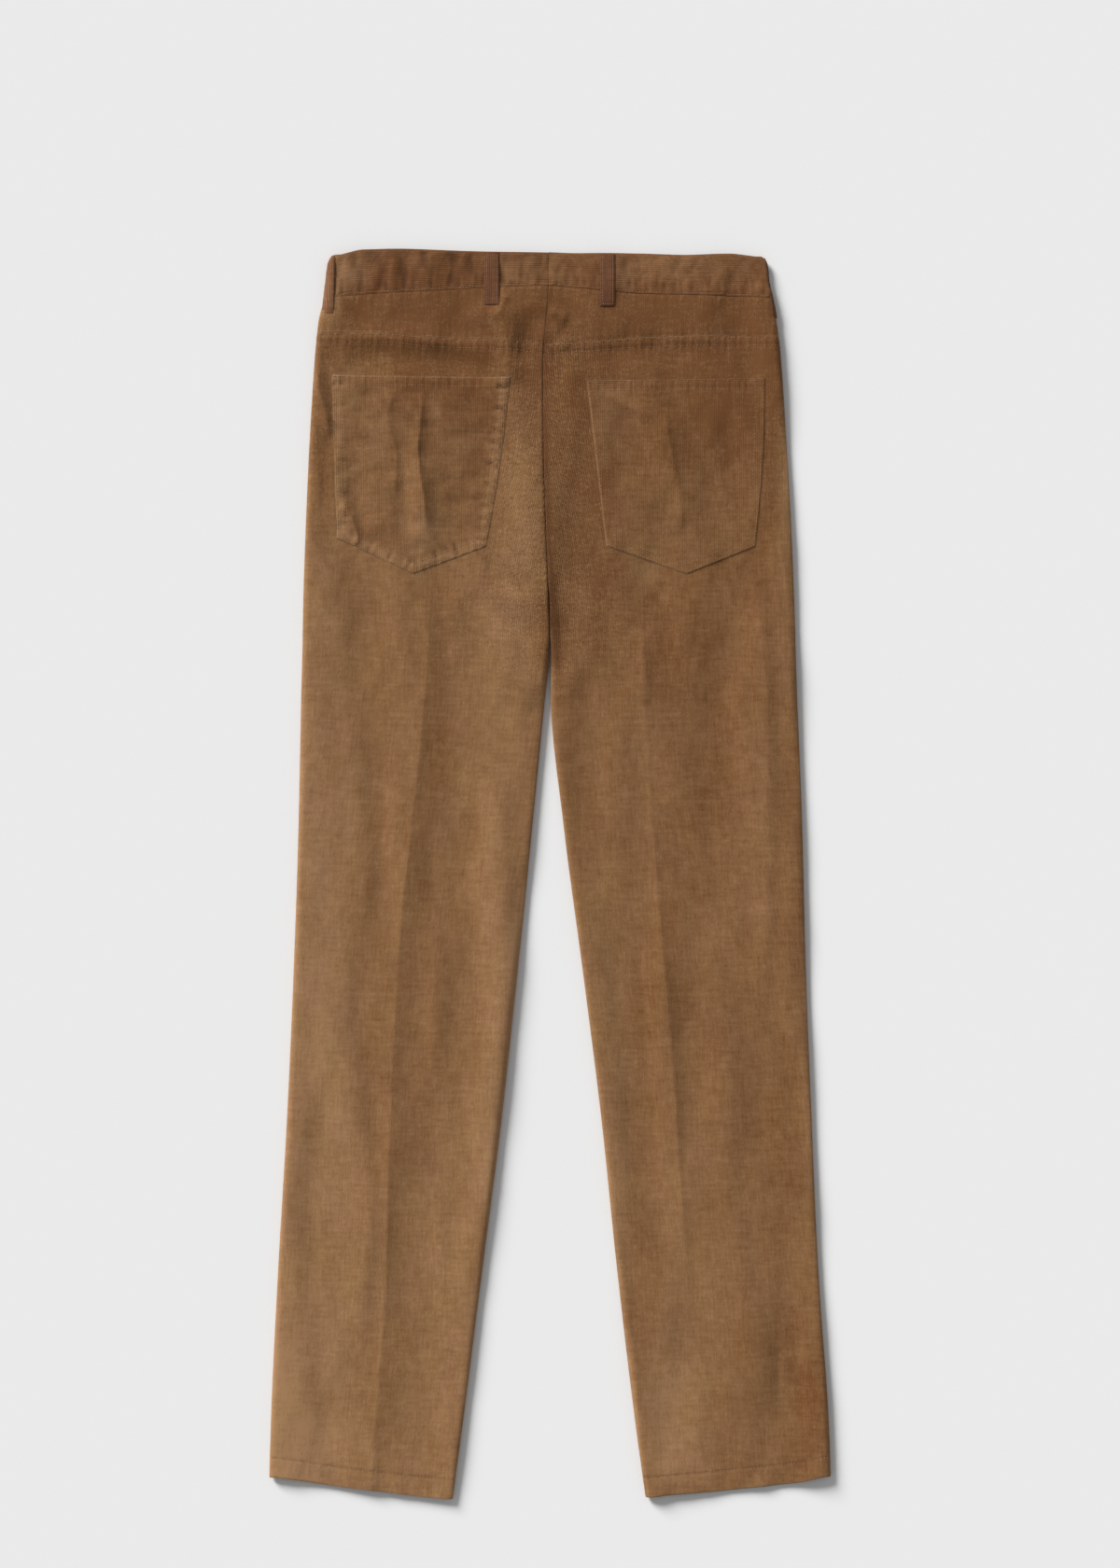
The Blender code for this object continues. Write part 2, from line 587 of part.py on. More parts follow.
def main():
    for old in list(bpy.data.objects):
        bpy.data.objects.remove(old)
    corduroy = cloth("corduroy", CORDUROY)
    corduroy_dark = cloth("corduroy_dark", CORDUROY_DARK)
    horn = cloth("horn", HORN, roughness=0.35)
    for side in (LEFT, RIGHT):
        back_panels(side, corduroy)
        front_panel(side, corduroy)
        pocket(side, corduroy)
        waistband(side, corduroy_dark)
        back_loop(side, corduroy_dark)
        side_loop(side, corduroy_dark)
        front_loop(side, corduroy_dark)
    waist_button(horn)


main()
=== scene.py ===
"""Looks of the corduroy trousers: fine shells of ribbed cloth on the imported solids, their stitching,
the materials, the floor, the light and the camera.

Places and lengths are in millimetres until a mesh is made. `x` runs to the right, and `down` is the
distance below the highest point of the waist, as in the part's own source. Left and right are as
seen from above.
"""

import math
from collections import namedtuple

import bpy
import numpy as np
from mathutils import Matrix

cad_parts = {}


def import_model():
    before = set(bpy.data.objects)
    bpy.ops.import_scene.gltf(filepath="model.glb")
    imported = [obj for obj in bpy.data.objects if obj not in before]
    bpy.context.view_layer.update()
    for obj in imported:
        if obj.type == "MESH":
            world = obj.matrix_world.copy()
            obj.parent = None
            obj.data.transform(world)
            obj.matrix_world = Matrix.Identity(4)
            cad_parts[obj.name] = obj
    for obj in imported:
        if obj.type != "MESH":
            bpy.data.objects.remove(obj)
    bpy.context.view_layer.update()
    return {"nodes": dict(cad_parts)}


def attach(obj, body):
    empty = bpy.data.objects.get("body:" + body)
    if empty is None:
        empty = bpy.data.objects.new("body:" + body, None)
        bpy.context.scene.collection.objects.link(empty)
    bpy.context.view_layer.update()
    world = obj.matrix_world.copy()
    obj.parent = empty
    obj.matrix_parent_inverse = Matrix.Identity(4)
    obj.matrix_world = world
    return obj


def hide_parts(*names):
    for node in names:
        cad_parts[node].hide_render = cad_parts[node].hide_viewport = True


MM = 0.001
LEFT, RIGHT = "left", "right"
SIDES = (LEFT, RIGHT)
SIGN = {LEFT: -1.0, RIGHT: 1.0}
UP = np.array((0.0, 0.0, 1.0))

# Sizes that are those of the part's source
LENGTH = 1150.0
CROTCH = 372.0
EDGE_TURNING, FRONT_CLOSING = 60.0, 60.0
ROLL, SEAM_ROLL, ROLL_FADE = 6.5, 1.5, 20.0
LOOP_WIDTH, SIDE_LOOP_WIDTH, LOOP_INSET = 14.0, 10.5, 1.0
LOOP_STEP = (10.0, 5.0)
FRONT_LIFT, FRONT_LIFT_END = 2.5, (74.0, 112.0)

# Sizes of the cloth's own: it is thinner and softer than the solids' walls, and lies closer
CLOTH, BAND, POCKET_CLOTH, LOOP_THICK = 1.05, 2.0, 0.6, 0.95
SEAM_GAP, POCKET_GAP, LOOP_GAP = 0.2, 0.05, 0.1
BAND_RISE = 0.15  # how far the waistband stands above the yoke
LOOP_ARCH, SIDE_LOOP_ARCH = 0.3, 0.2
LEG_CLOSING = 22.0  # length above the crotch over which the centre seam turns into two inseams
SEAM_DIP = {LEFT: 0.55, RIGHT: 0.12}
SEAM_DIP_YOKE, SEAM_DIP_FADE = 0.3, (70, 110)  # its share on the yokes, and where it gets deeper
REST_HEIGHT, REST_SOFTNESS = 2.2, 0.25  # the back's troughs come to rest on the front's cloth


def table(names, *rows):
    """A table with named columns, a row for each place."""
    return {name: np.array(column, float) for name, column in zip(names, zip(*rows))}


# The part's tables: the outline, lines across the garment, heights and the pressed creases
OUTLINE = table(
    ("down", "side_left", "inner_left", "inner_right", "side_right"),
    (0, -195.5, -1.0, -1.0, 190.0),
    (14, -203.5, -1.0, -1.0, 199.4),
    (32, -206.0, -1.0, -1.0, 201.3),
    (44, -207.6, -1.5, -1.5, 204.0),
    (66, -213.0, -3.5, -3.5, 208.5),
    (100, -216.6, -6.0, -6.0, 212.8),
    (180, -221.6, -5.5, -5.5, 218.0),
    (250, -224.8, -3.5, -3.5, 222.0),
    (320, -227.2, -0.8, -0.8, 225.0),
    (372, -228.2, 0.3, 0.3, 226.5),
    (410, -229.2, -3.8, 0.3, 227.7),
    (530, -231.7, -15.6, 12.0, 232.4),
    (665, -236.2, -29.2, 29.8, 235.8),
    (800, -242.3, -43.8, 46.8, 241.0),
    (940, -250.5, -61.8, 61.4, 247.2),
    (1080, -257.2, -79.6, 78.0, 257.0),
    (1150, -259.0, -89.0, 87.7, 259.4),
)
BACK_LINES = table(
    ("share", "waist_left", "band_left", "yoke_left", "hem_left",
     "waist_right", "band_right", "yoke_right", "hem_right"),
    (0.00, 5.5, 44.0, 77.0, 1130.2, 7.5, 45.0, 80.0, 1129.0),
    (0.10, 1.0, 42.6, 76.5, 1132.6, 5.0, 43.8, 79.8, 1134.4),
    (0.30, 0.0, 40.4, 77.0, 1138.2, 6.0, 42.4, 80.0, 1139.7),
    (0.50, 1.3, 38.6, 81.0, 1142.3, 4.6, 41.2, 81.5, 1144.0),
    (0.85, 3.2, 34.6, 83.6, 1148.2, 4.4, 36.0, 86.0, 1146.4),
    (1.00, 3.5, 33.5, 87.0, 1150.0, 3.5, 33.5, 87.0, 1148.0),
)
FRONT_LINES = table(
    ("share", "waist_left", "band_left", "hem_left", "waist_right", "band_right", "hem_right"),
    (0.0, 5.5, 44.0, 1130.2, 7.5, 45.0, 1129.0),
    (0.5, 15.0, 51.0, 1141.3, 16.0, 52.0, 1141.2),
    (1.0, 20.0, 56.0, 1150.0, 20.0, 56.0, 1148.0),
)
HEIGHTS = table(
    ("down", "flat", "rolled"),
    (0, 6.9, 7.0),
    (50, 6.9, 7.0),
    (110, 5.6, 6.4),
    (200, 5.2, 6.4),
    (372, 4.6, 6.4),
    (500, 4.2, 6.4),
    (1150, 3.9, 6.4),
)
CREASES = table(
    ("down", "left", "right"),
    (80, -112.0, 84.0),
    (370, -111.5, 85.0),
    (483, -122.0, 91.0),
    (611, -136.5, 101.0),
    (729, -143.5, 111.5),
    (828, -148.0, 118.0),
    (960, -149.5, 129.0),
    (1150, -164.0, 138.5),
)

# How far the ribs are moved towards the centre seam: they lean towards it above the crotch, since
# the panels are cut aslant there
SEAT_TURN = table(
    ("down", "moved"),
    (80, 38.0),
    (140, 31.0),
    (200, 17.0),
    (260, 1.0),
    (310, -8.0),
    (370, -12.0),
    (430, -12.5),
    (1150, -12.5),
)

# Folds: ridges, or troughs where the height is negative. left and right are the half-widths on
# either side of a fold that runs down; of one that runs across, left is below and right is above.
# taper is the length over which it dies away at each end, and path runs through (x, down) points.
Fold = namedtuple("Fold", "name height left right taper path")


def fold_table(*rows):
    """Folds from rows of a name, a height, two half-widths, a taper, and then the path's points."""
    return [Fold(*row[:5], row[5:]) for row in rows]


SHARP_FOLDS = fold_table(
    ("crease_left", 1.7, 11, 12, 60, (-122, 300), (-113, 335), (-111.5, 370), (-122, 483),
     (-136.5, 611), (-143.5, 729), (-148, 828), (-151, 960), (-156, 1026), (-162, 1100), (-165, 1170)),
    ("crease_thigh_left", 0.8, 9, 10, 34, (-127, 540), (-132, 575), (-136.5, 611), (-139, 640)),
    ("crease_calf_left", 0.9, 9, 10, 44, (-147, 800), (-149, 860), (-149.5, 960)),
    ("crease_right", 1.3, 12, 11, 110, (83, 300), (84.8, 356), (87.7, 438), (95.5, 548), (106.5, 674),
     (114.5, 766), (121.5, 882), (128, 970)),
    ("crease_calf_right", 0.8, 10, 8, 50, (112, 740), (117.5, 828), (121.5, 875), (126, 925)),
    ("crease_knee_right", 0.9, 11, 10, 50, (94, 530), (100, 600), (106.5, 674), (112, 740)),
    ("pocket_crease_left", 2.3, 9, 4, 30, (-115, 121), (-117.5, 140), (-118.5, 153), (-119.5, 167),
     (-121.5, 179), (-121, 190), (-119.5, 208), (-116.7, 225), (-114.5, 242), (-112.5, 266)),
    ("pocket_fold_left", 2.0, 10, 7, 20, (-138, 124), (-146, 139), (-149.5, 152), (-148, 163),
     (-143.5, 178), (-141, 192), (-141.5, 212), (-143, 234)),
    ("pocket_crease_deep_left", 0.5, 7, 4, 12, (-121.5, 170), (-121, 190), (-119, 208)),
    ("pocket_loop_left", 1.9, 4, 3, 8, (-196, 238), (-189, 238.5), (-183, 246), (-178.5, 258),
     (-176, 268), (-181, 275)),
    ("crease_dent_left", -1.3, 5, 5, 8, (-106, 344), (-99, 352), (-94, 362), (-91, 374)),
    ("crease_thigh_right", 1.0, 10, 5, 12, (83, 348), (85.5, 366), (88.5, 390), (92.5, 418)),
    ("pocket_crease_right", 2.6, 14, 8, 26, (104, 142), (108.4, 172), (111.2, 185), (114.1, 202),
     (117, 213), (118.7, 228), (120.5, 246), (122, 268)),
    ("pocket_pull_right", 1.8, 9, 5, 16, (46, 127), (52, 133), (60, 139.5), (70, 145), (84, 149),
     (98, 158)),
    ("hip_fold_right", 0.8, 4, 4, 20, (200, 262), (207, 300), (213, 346)),
    ("hip_crease_right", 0.7, 4, 4, 20, (209, 256), (216, 300), (220, 340)),
    ("side_leaf_left", 2.4, 5, 5, 14, (-215, 104), (-213, 128), (-206, 152), (-201, 172)),
    ("yoke_pull_left", 1.9, 6, 5, 9, (-58, 65), (-47, 58.5), (-42, 47.5), (-36, 38)),
    ("yoke_curl_right", 2.0, 4, 3, 6, (-2, 60), (4.5, 58.5), (10.7, 63.4), (18, 66.5)),
    ("yoke_curl_inner_right", 1.7, 4, 4, 8, (1, 67), (5, 76), (9.5, 84), (14, 96)),
    ("seat_pull_left", 1.7, 8, 6, 16, (-70, 286), (-58, 306), (-42, 320), (-12, 326)),
)
SOFT_FOLDS = fold_table(
    ("seat_ridge", 3.2, 34, 18, 60, (14, 90), (13, 180), (7, 240), (-1, 285), (-7, 325), (-9, 365),
     (-9, 430)),
    ("crotch_trough_right", -1.8, 8, 22, 40, (10, 270), (10, 320), (12, 372), (16, 410)),
    ("pocket_crease_low_left", 2.6, 12, 9, 46, (-121, 182), (-119, 208), (-116, 230), (-113, 252),
     (-110, 270), (-108, 296)),
    ("pocket_diagonal_left", 0.8, 9, 10, 26, (-112, 132), (-103, 144), (-93, 158), (-78, 172)),
    ("pocket_valley_left", -1.5, 10, 8, 22, (-133, 166), (-135, 190), (-135, 215), (-133, 245),
     (-130, 280)),
    ("pocket_swell_left", 1.4, 20, 12, 30, (-168, 140), (-166, 200), (-167, 275)),
    ("pocket_trough_left", -1.5, 8, 8, 18, (-188, 206), (-179, 222), (-173, 242), (-175, 268)),
    ("pocket_dent_left", -1.0, 6, 6, 8, (-191, 246), (-189, 262)),
    ("pocket_swell_right", 1.2, 18, 14, 26, (86, 196), (90, 230), (100, 250)),
    ("pocket_diagonal_right", 0.8, 9, 7, 16, (130, 130), (150, 165), (160, 205)),
    ("pocket_dip_right", -1.0, 14, 14, 30, (150, 170), (146, 220), (150, 265)),
    ("seam_ridge_left", 1.5, 8, 10, 22, (-200, 82), (-150, 82), (-100, 86), (-48, 96)),
    ("seam_valley_left", -1.25, 8, 9, 22, (-186, 98), (-140, 101), (-100, 103), (-76, 108), (-56, 116),
     (-44, 126)),
    ("seam_valley_right", -1.0, 8, 10, 24, (20, 99), (60, 97), (110, 94), (160, 96)),
    ("yoke_ridge_left", 2.4, 11, 12, 16, (-40, 44), (-39, 60), (-38, 76), (-37, 100), (-35, 128)),
    ("yoke_hollow_left", -1.7, 12, 8, 14, (-8, 52), (-11, 66), (-17, 80), (-22, 94), (-25, 112)),
    ("yoke_diagonal_right", 1.2, 7, 8, 12, (10, 76), (16, 90), (21, 108), (27, 126)),
    ("yoke_swell_left", 1.0, 14, 14, 16, (-78, 50), (-66, 62), (-62, 76)),
    ("yoke_swell_right", 1.0, 16, 14, 18, (46, 60), (66, 66), (96, 62)),
    ("yoke_dip_left", -0.8, 16, 16, 20, (-140, 46), (-132, 62), (-116, 76)),
    ("side_trough_left", -1.2, 6, 6, 18, (-209, 92), (-204, 118), (-199, 148), (-202, 200)),
    ("side_dent_left", -1.1, 5, 8, 14, (-217, 136), (-212, 160), (-207, 190), (-208, 250)),
    ("seat_diagonal_left", 2.0, 14, 12, 30, (-100, 300), (-74, 334), (-44, 358), (-20, 384)),
    ("seat_hollow_left", -2.0, 9, 9, 18, (-62, 280), (-50, 300), (-32, 312), (-12, 318)),
    ("crotch_pull_left", 1.4, 10, 10, 26, (-52, 366), (-30, 392), (-14, 430)),
    ("crotch_pull_right", 1.2, 10, 10, 26, (44, 356), (22, 390), (8, 425)),
    ("crotch_dent_right", -1.5, 12, 10, 26, (16, 440), (28, 482), (42, 524)),
    ("thigh_ridge_left", 1.9, 16, 11, 60, (-194, 400), (-178, 480), (-170, 560), (-174, 640)),
    ("thigh_trough_left", -1.0, 9, 8, 40, (-155, 440), (-152, 540), (-158, 620)),
    ("knee_ridge_left", 2.5, 24, 10, 80, (-198, 630), (-186, 720), (-176, 800), (-168, 870),
     (-171, 950), (-180, 1040)),
    ("shin_trough_left", -1.2, 12, 12, 60, (-214, 770), (-219, 860), (-217, 990)),
    ("crease_shade_left", -1.0, 7, 7, 34, (-113, 520), (-109, 570), (-107, 625)),
    ("inner_ridge_left", 2.4, 22, 12, 90, (-66, 430), (-50, 500), (-44, 600), (-44, 690), (-54, 780),
     (-66, 880)),
    ("knee_fold_left", 1.4, 9, 13, 50, (-104, 610), (-105, 700), (-110, 790)),
    ("calf_fold_left", 1.4, 8, 10, 34, (-104, 860), (-100, 905), (-92, 950)),
    ("ankle_dent_left", -1.2, 9, 9, 24, (-212, 1050), (-208, 1075), (-200, 1105)),
    ("ankle_pull_left", -1.5, 10, 10, 24, (-150, 1060), (-128, 1095), (-100, 1118)),
    ("ankle_swell_left", 1.2, 14, 12, 30, (-238, 1010), (-226, 1040), (-232, 1090)),
    ("outer_ridge_right", 2.5, 28, 10, 80, (185, 280), (194, 350), (198, 440), (199, 560), (196, 640),
     (184, 730)),
    ("thigh_trough_right", -1.4, 22, 22, 70, (136, 380), (150, 460), (152, 560)),
    ("thigh_fold_right", 0.8, 12, 10, 30, (52, 400), (68, 440), (76, 500)),
    ("knee_ridge_right", 2.5, 28, 18, 90, (136, 600), (156, 700), (166, 800), (170, 900), (174, 990),
     (186, 1090)),
    ("knee_trough_right", -1.7, 22, 13, 80, (74, 600), (86, 720), (95, 860), (98, 1010)),
    ("calf_swell_right", 1.0, 11, 9, 30, (124, 815), (132, 850), (134, 900)),
    ("ankle_trough_right", -1.4, 14, 14, 50, (212, 960), (218, 1040), (214, 1110)),
    ("ankle_dent_right", -1.2, 7, 8, 16, (150, 1092), (146, 1112), (148, 1130)),
    ("hem_dent_right", -1.4, 8, 10, 14, (226, 1100), (236, 1114), (250, 1118)),
    ("inseam_ridge_right", 1.1, 4, 5, 40, (57, 880), (66, 940), (72, 990), (79, 1050), (84, 1100)),
    ("band_swell_left", 0.8, 12, 10, 12, (-150, 8), (-146, 22), (-148, 40)),
    ("band_dent_left", -1.0, 10, 8, 10, (-92, 4), (-82, 20), (-88, 38)),
    ("band_fold_left", 0.8, 8, 8, 10, (-116, 4), (-110, 18), (-112, 36)),
    ("band_swell_right", 0.8, 14, 14, 12, (96, 6), (100, 22), (98, 40)),
    ("band_dent_right", -0.8, 12, 12, 12, (136, 8), (142, 24), (146, 40)),
    ("band_bend_right", -1.2, 8, 8, 10, (190, 6), (188, 22), (190, 40)),
    ("band_crumple_right", -0.5, 3, 4, 5, (1, 3), (0, 14), (-4, 26)),
    ("band_crumple_left", -0.5, 4, 4, 6, (-10, 12), (-8, 22), (-5, 34)),
)

# Patch pockets: corners as (x, down), from the side towards the centre
Pocket = namedtuple("Pocket", "top_outer top_inner bottom_inner point bottom_outer outer_bow inner_bow")
POCKETS = {
    LEFT: Pocket((-201.0, 116.0), (-36.4, 118.0), (-58.5, 274.0), (-125.5, 299.0), (-196.0, 266.5),
                 0.0, 2.2),
    RIGHT: Pocket((198.0, 119.5), (33.8, 121.5), (51.5, 273.5), (126.0, 299.5), (189.0, 274.0),
                  2.6, 0.0),
}

# Belt loops: x of the middle, or of a side loop's inner edge at its top and at its low end, and
# how far down the low end is
Loop = namedtuple("Loop", "x low_end")
BACK_LOOPS = {LEFT: Loop(-53.5, 52.0), RIGHT: Loop(53.0, 53.5)}
FRONT_LOOPS = {LEFT: Loop(-108.0, 66.0), RIGHT: Loop(108.0, 67.0)}
SIDE_LOOPS = {LEFT: Loop((-197.6, -198.4), 60.5), RIGHT: Loop((199.5, 203.6), 64.0)}

# What each sheet stands for, its finish, what it rests on, and what it was cut to, in metres
Sheet = namedtuple("Sheet", "node slot rests_on cut")
SHEETS = {
    "yoke": Sheet("yoke", "corduroy", "front", {"flat": (0.222, 0.058), "area": 0.0092}),
    "back": Sheet("back", "corduroy", "front", {"flat": (0.245, 1.075), "area": 0.22}),
    "front": Sheet("front", "corduroy", None, {"flat": (0.245, 1.105), "area": 0.23}),
    "pocket": Sheet("pocket", "corduroy", "back", {"flat": (0.166, 0.184), "area": 0.0259}),
    "band": Sheet("waistband", "corduroy_band", "front", {"flat": (0.418, 0.041), "area": 0.0151}),
    "loop_back": Sheet("loop_back", "corduroy_loop", "waistband", {"flat": (0.0155, 0.0505)}),
    "loop_side": Sheet("loop_side", "corduroy_loop", "waistband", {"flat": (0.012, 0.0535)}),
    "loop_front": Sheet("loop_front", "corduroy_loop", "waistband", {"flat": (0.0155, 0.0505)}),
}

# The ribs of the corduroy
WALE = 1.8  # from rib to rib
WALE_HEIGHT = 0.26
WALE_PROFILE = (0.0, 1.0, 1.0)  # share of the height across one rib
WALE_STEP = WALE / len(WALE_PROFILE)
LEG_RIBS = {LEFT: 0.07, RIGHT: 0.14}  # share of the ribs' depth where the pile hides them
SEAT_RIBS = {LEFT: 0.68, RIGHT: 0.95}
UPPER_RIBS, UPPER_LEAN = 0.2, 0.48  # beside the seat: its share of the seat's ribs and lean
UPPER_FADE = (150, 300)  # where that fades
YOKE_SLANT, YOKE_MIDDLE = {LEFT: -0.05, RIGHT: 0.05}, 60.0  # of its ribs
POCKET_RIBS, POCKET_LEAN = 0.48, 0.12
BAND_RIBS = {LEFT: 0.80, RIGHT: 0.52}
BAND_CRUMPLE = {LEFT: 0.033, RIGHT: 0.016}  # steepness of the small waves in the waistband

# How finely the cloth is divided
ARC, SEAM_ARC = 7.9, 1.7  # length of the cloth round a rolled edge, and at the centre back seam
EDGE_STEPS = (0.0, 0.5, 1.1, 2.0, 3.2, 4.8)  # rows beside a seam or a hem
POCKET_EDGE_STEPS = (*EDGE_STEPS, 6.6, 8.4, 10.2)
POCKET_ROWS = 61  # over the rest of a pocket
LOOP_EDGE_STEPS = (0.0, 0.6, 1.4)
ROW_STEPS = (-2.6, -1.4, -0.7, 0.0, 0.7, 1.4, 2.6)  # rows of points beside the hem's stitches
SEAT_STEP, LEG_STEP, FRONT_STEP = 7.0, 22.0, 40.0
YOKE_STEP, LOOP_STEP_ALONG = 3.0, 1.6
BAND_LENGTH = 200  # of a half, about, on the back or under the front
BAND_STEP, BAND_FRONT_STEP, BAND_ARC_STEPS = 1.7, 8.0, 13
BAND_EDGE = (2.6, 2.0, 1.2, 0.5, 0.0)  # from its lower edge up to the last even row, and to those below
PANEL_REACH = 190.0  # more than the widest way from a crease to a panel's edge
BAND_REACH = 42.0  # more than the waistband's height
SNAP = 0.35  # of a step: nearer to an edge, a point goes to the edge
RIM_BULGE = 0.3  # how far a cut edge is rounded outwards
LAP = 0.15  # how far a seam's or a turned edge's allowance lifts the cloth over it

# Stitching
STITCH, LOOP_STITCH = 3.1, 2.6  # from stitch to stitch
TACK_STITCH, LOOP_TACK_STITCH = 1.9, 1.5
STITCH_SHOWN = 0.8  # share of a stitch's length that lies on top
THREAD, THREAD_SIDES = 0.21, 5  # its radius, and the sides of its section
STITCH_RINGS = (0.0, 0.27, 0.73, 1.0)  # places along a stitch,
STITCH_WIDTHS = (0.4, 1.0, 1.0, 0.4)  # how thick it is there,
STITCH_SUNK = (0.34, 0.02, 0.02, 0.34)  # and how far it is sunk in the cloth
STITCH_GROUPS = ("yokes", "waist", "pockets", "hems", "loops", "front")
FLY_SIDE = LEFT
FLY_ROWS, FLY_STRAIGHT, FLY_BEND = (38.0, 32.0), 190.0, 34.0
TWIN_ROWS = (1.6, 8.8)  # distance of a double row from its edge
HEM_ROW = 18.0
HEM_SHORT = -1.5  # it runs past the leg's inner edge, so that its stitches reach the edge
ROW_SHORT, ROW_START = 2.0, 1.5  # from a row's ends to the panel's inner edge and to its side
TACK_IN, TACK_DOWN = 8.0, 1.4  # from a pocket's corner to the middle of its bar tack
CORNER_TACK = (13.0, 1.2, 17)  # the tack's width and height, and the points of its thread
PUCKER, POCKET_PUCKER = 7.6, 10.2  # from pucker to pucker along a row
LOOP_ROW, LOOP_TACK = 2.2, 2.4  # a loop's rows from its edges, and its tacks from its ends
LOOP_TOP = 4.0  # how far down the top of a back loop is, about
FRONT_POCKET = ((140, 60), (196, 168), (206, 206))  # the slanted opening, as (x, down)

# Tone: how light the brushed pile looks, from 0 to 1, after how it has been stroked
TONE = table(
    ("down", "left", "right"),
    (0, 0.16, 0.22),
    (60, 0.0, 0.04),
    (130, 0.16, 0.14),
    (250, 0.42, 0.18),
    (420, 0.50, 0.32),
    (650, 0.55, 0.37),
    (900, 0.63, 0.41),
    (1150, 0.64, 0.41),
)
# Patches of tone: partly the brushed pile's own, and partly painted light and shade, which lighten
# flanks and folds that face the lamp, as along the left leg's outer edge, and darken places in shade,
# as by the crotch
TONE_AND_LIGHT_PATCHES = table(
    ("x", "down", "reach_x", "reach_down", "amount"),
    # waistband
    (197, 20, 10, 12, -0.25),
    (-183, 22, 16, 14, 0.50),
    (-72, 22, 12, 14, -0.16),
    (-24, 22, 16, 14, 0.20),
    (40, 22, 10, 12, -0.12),
    (66, 22, 16, 14, 0.25),
    (108, 22, 14, 12, 0.15),
    (130, 22, 60, 24, 0.16),
    (-38, 24, 16, 14, 0.20),
    (4, 24, 18, 14, 0.12),
    (-205, 40, 16, 30, 0.70),
    (-134, 45, 34, 24, -0.32),
    # yokes
    (-206, 60, 10, 20, 0.20),
    (-50, 60, 14, 20, 0.16),
    (24, 84, 14, 16, 0.14),
    (-24, 92, 16, 24, -0.08),
    (192, 100, 24, 16, -0.20),
    # seat and pockets
    (190, 120, 36, 34, -0.20),
    (-188, 125, 30, 30, 0.26),
    (-8, 125, 14, 26, -0.18),
    (20, 132, 12, 20, -0.14),
    (60, 140, 16, 24, 0.16),
    (160, 140, 46, 50, -0.28),
    (-105, 150, 8, 18, 0.28),
    (-158, 174, 12, 20, 0.22),
    (-84, 181, 16, 22, 0.20),
    (-168, 190, 30, 60, 0.14),
    (-146, 198, 8, 12, -0.10),
    (-70, 200, 26, 60, -0.06),
    (221, 200, 10, 60, 0.40),
    (-206, 205, 10, 34, -0.20),
    (-26, 215, 24, 100, 0.24),
    (16, 230, 20, 110, 0.09),
    (100, 260, 40, 30, 0.08),
    (-116, 262, 16, 20, 0.40),
    (-140, 272, 24, 16, -0.15),
    (218, 280, 12, 130, 0.22),
    (-205, 300, 16, 120, 0.10),
    (85, 300, 14, 14, 0.15),
    (85, 300, 16, 22, 0.14),
    (-96, 320, 14, 30, -0.16),
    (-46, 345, 20, 24, 0.22),
    (-4, 355, 12, 30, -0.40),
    # left leg
    (-27, 380, 14, 24, 0.20),
    (-102, 462, 16, 40, -0.28),
    (-206, 497, 9, 40, -0.12),
    (-183, 510, 11, 50, 0.20),
    (-60, 520, 30, 140, 0.10),
    (-71, 537, 12, 60, -0.16),
    (-120, 560, 60, 180, -0.12),
    (-216, 620, 26, 260, 0.28),
    (-30, 640, 10, 50, 0.30),
    (-27, 660, 10, 40, 0.18),
    (-112, 675, 14, 40, -0.12),
    (-72, 720, 16, 50, -0.20),
    (-160, 750, 12, 40, -0.16),
    (-44, 760, 14, 130, 0.22),
    (-190, 800, 14, 70, 0.20),
    (-116, 800, 14, 50, -0.18),
    (-52, 835, 10, 44, 0.25),
    (-150, 850, 26, 110, -0.20),
    (-49, 860, 8, 40, 0.20),
    (-31, 860, 12, 40, 0.10),
    (-49, 862, 10, 40, 0.16),
    (-124, 900, 10, 40, 0.14),
    (-162, 915, 12, 40, 0.16),
    (-70, 985, 12, 34, 0.20),
    (-120, 1010, 26, 110, -0.10),
    (-206, 1015, 18, 40, 0.16),
    (-160, 1040, 16, 60, -0.12),
    (-242, 1050, 20, 110, 0.28),
    (-228, 1115, 26, 44, 0.50),
    # right leg
    (105, 378, 16, 34, -0.20),
    (84, 480, 16, 80, 0.15),
    (152, 500, 20, 60, -0.16),
    (198, 500, 14, 110, 0.12),
    (40, 620, 20, 160, 0.08),
    (108, 640, 16, 60, -0.12),
    (85, 690, 14, 50, -0.18),
    (152, 730, 16, 50, -0.20),
    (242, 750, 10, 120, 0.18),
    (58, 760, 16, 180, 0.20),
    (128, 830, 16, 90, 0.12),
    (216, 850, 20, 110, -0.12),
    (62, 860, 12, 50, 0.20),
    (116, 905, 12, 40, 0.18),
    (64, 932, 10, 40, 0.12),
    (92, 972, 12, 30, -0.18),
    (190, 1000, 30, 120, 0.06),
    (176, 1010, 14, 44, -0.15),
    (100, 1040, 24, 50, 0.20),
    (100, 1045, 16, 40, 0.12),
    (240, 1060, 20, 90, -0.30),
    (120, 1080, 34, 90, 0.25),
    (112, 1110, 30, 34, 0.22),
)
HEM_GROOVE_SHADE = 0.3  # painted shade in the groove of the hem's stitches: how much the pile's tone is lowered there
EDGE_LIGHT, EDGE_LIGHT_REACH = 0.25, 4.0  # painted light: the pile is made lighter along the cloth's cut and rolled edges, to lift the shade on their flanks
POCKET_SHIFT = {LEFT: -0.04, RIGHT: 0.0}
POCKET_EDGE_LIGHT = {LEFT: 0.22, RIGHT: 0.08}  # painted light: how much lighter its turned and stitched edges are made
SEAM_GROOVE = {LEFT: 0.34, RIGHT: 0.12}  # depth of the centre seam, and its shade
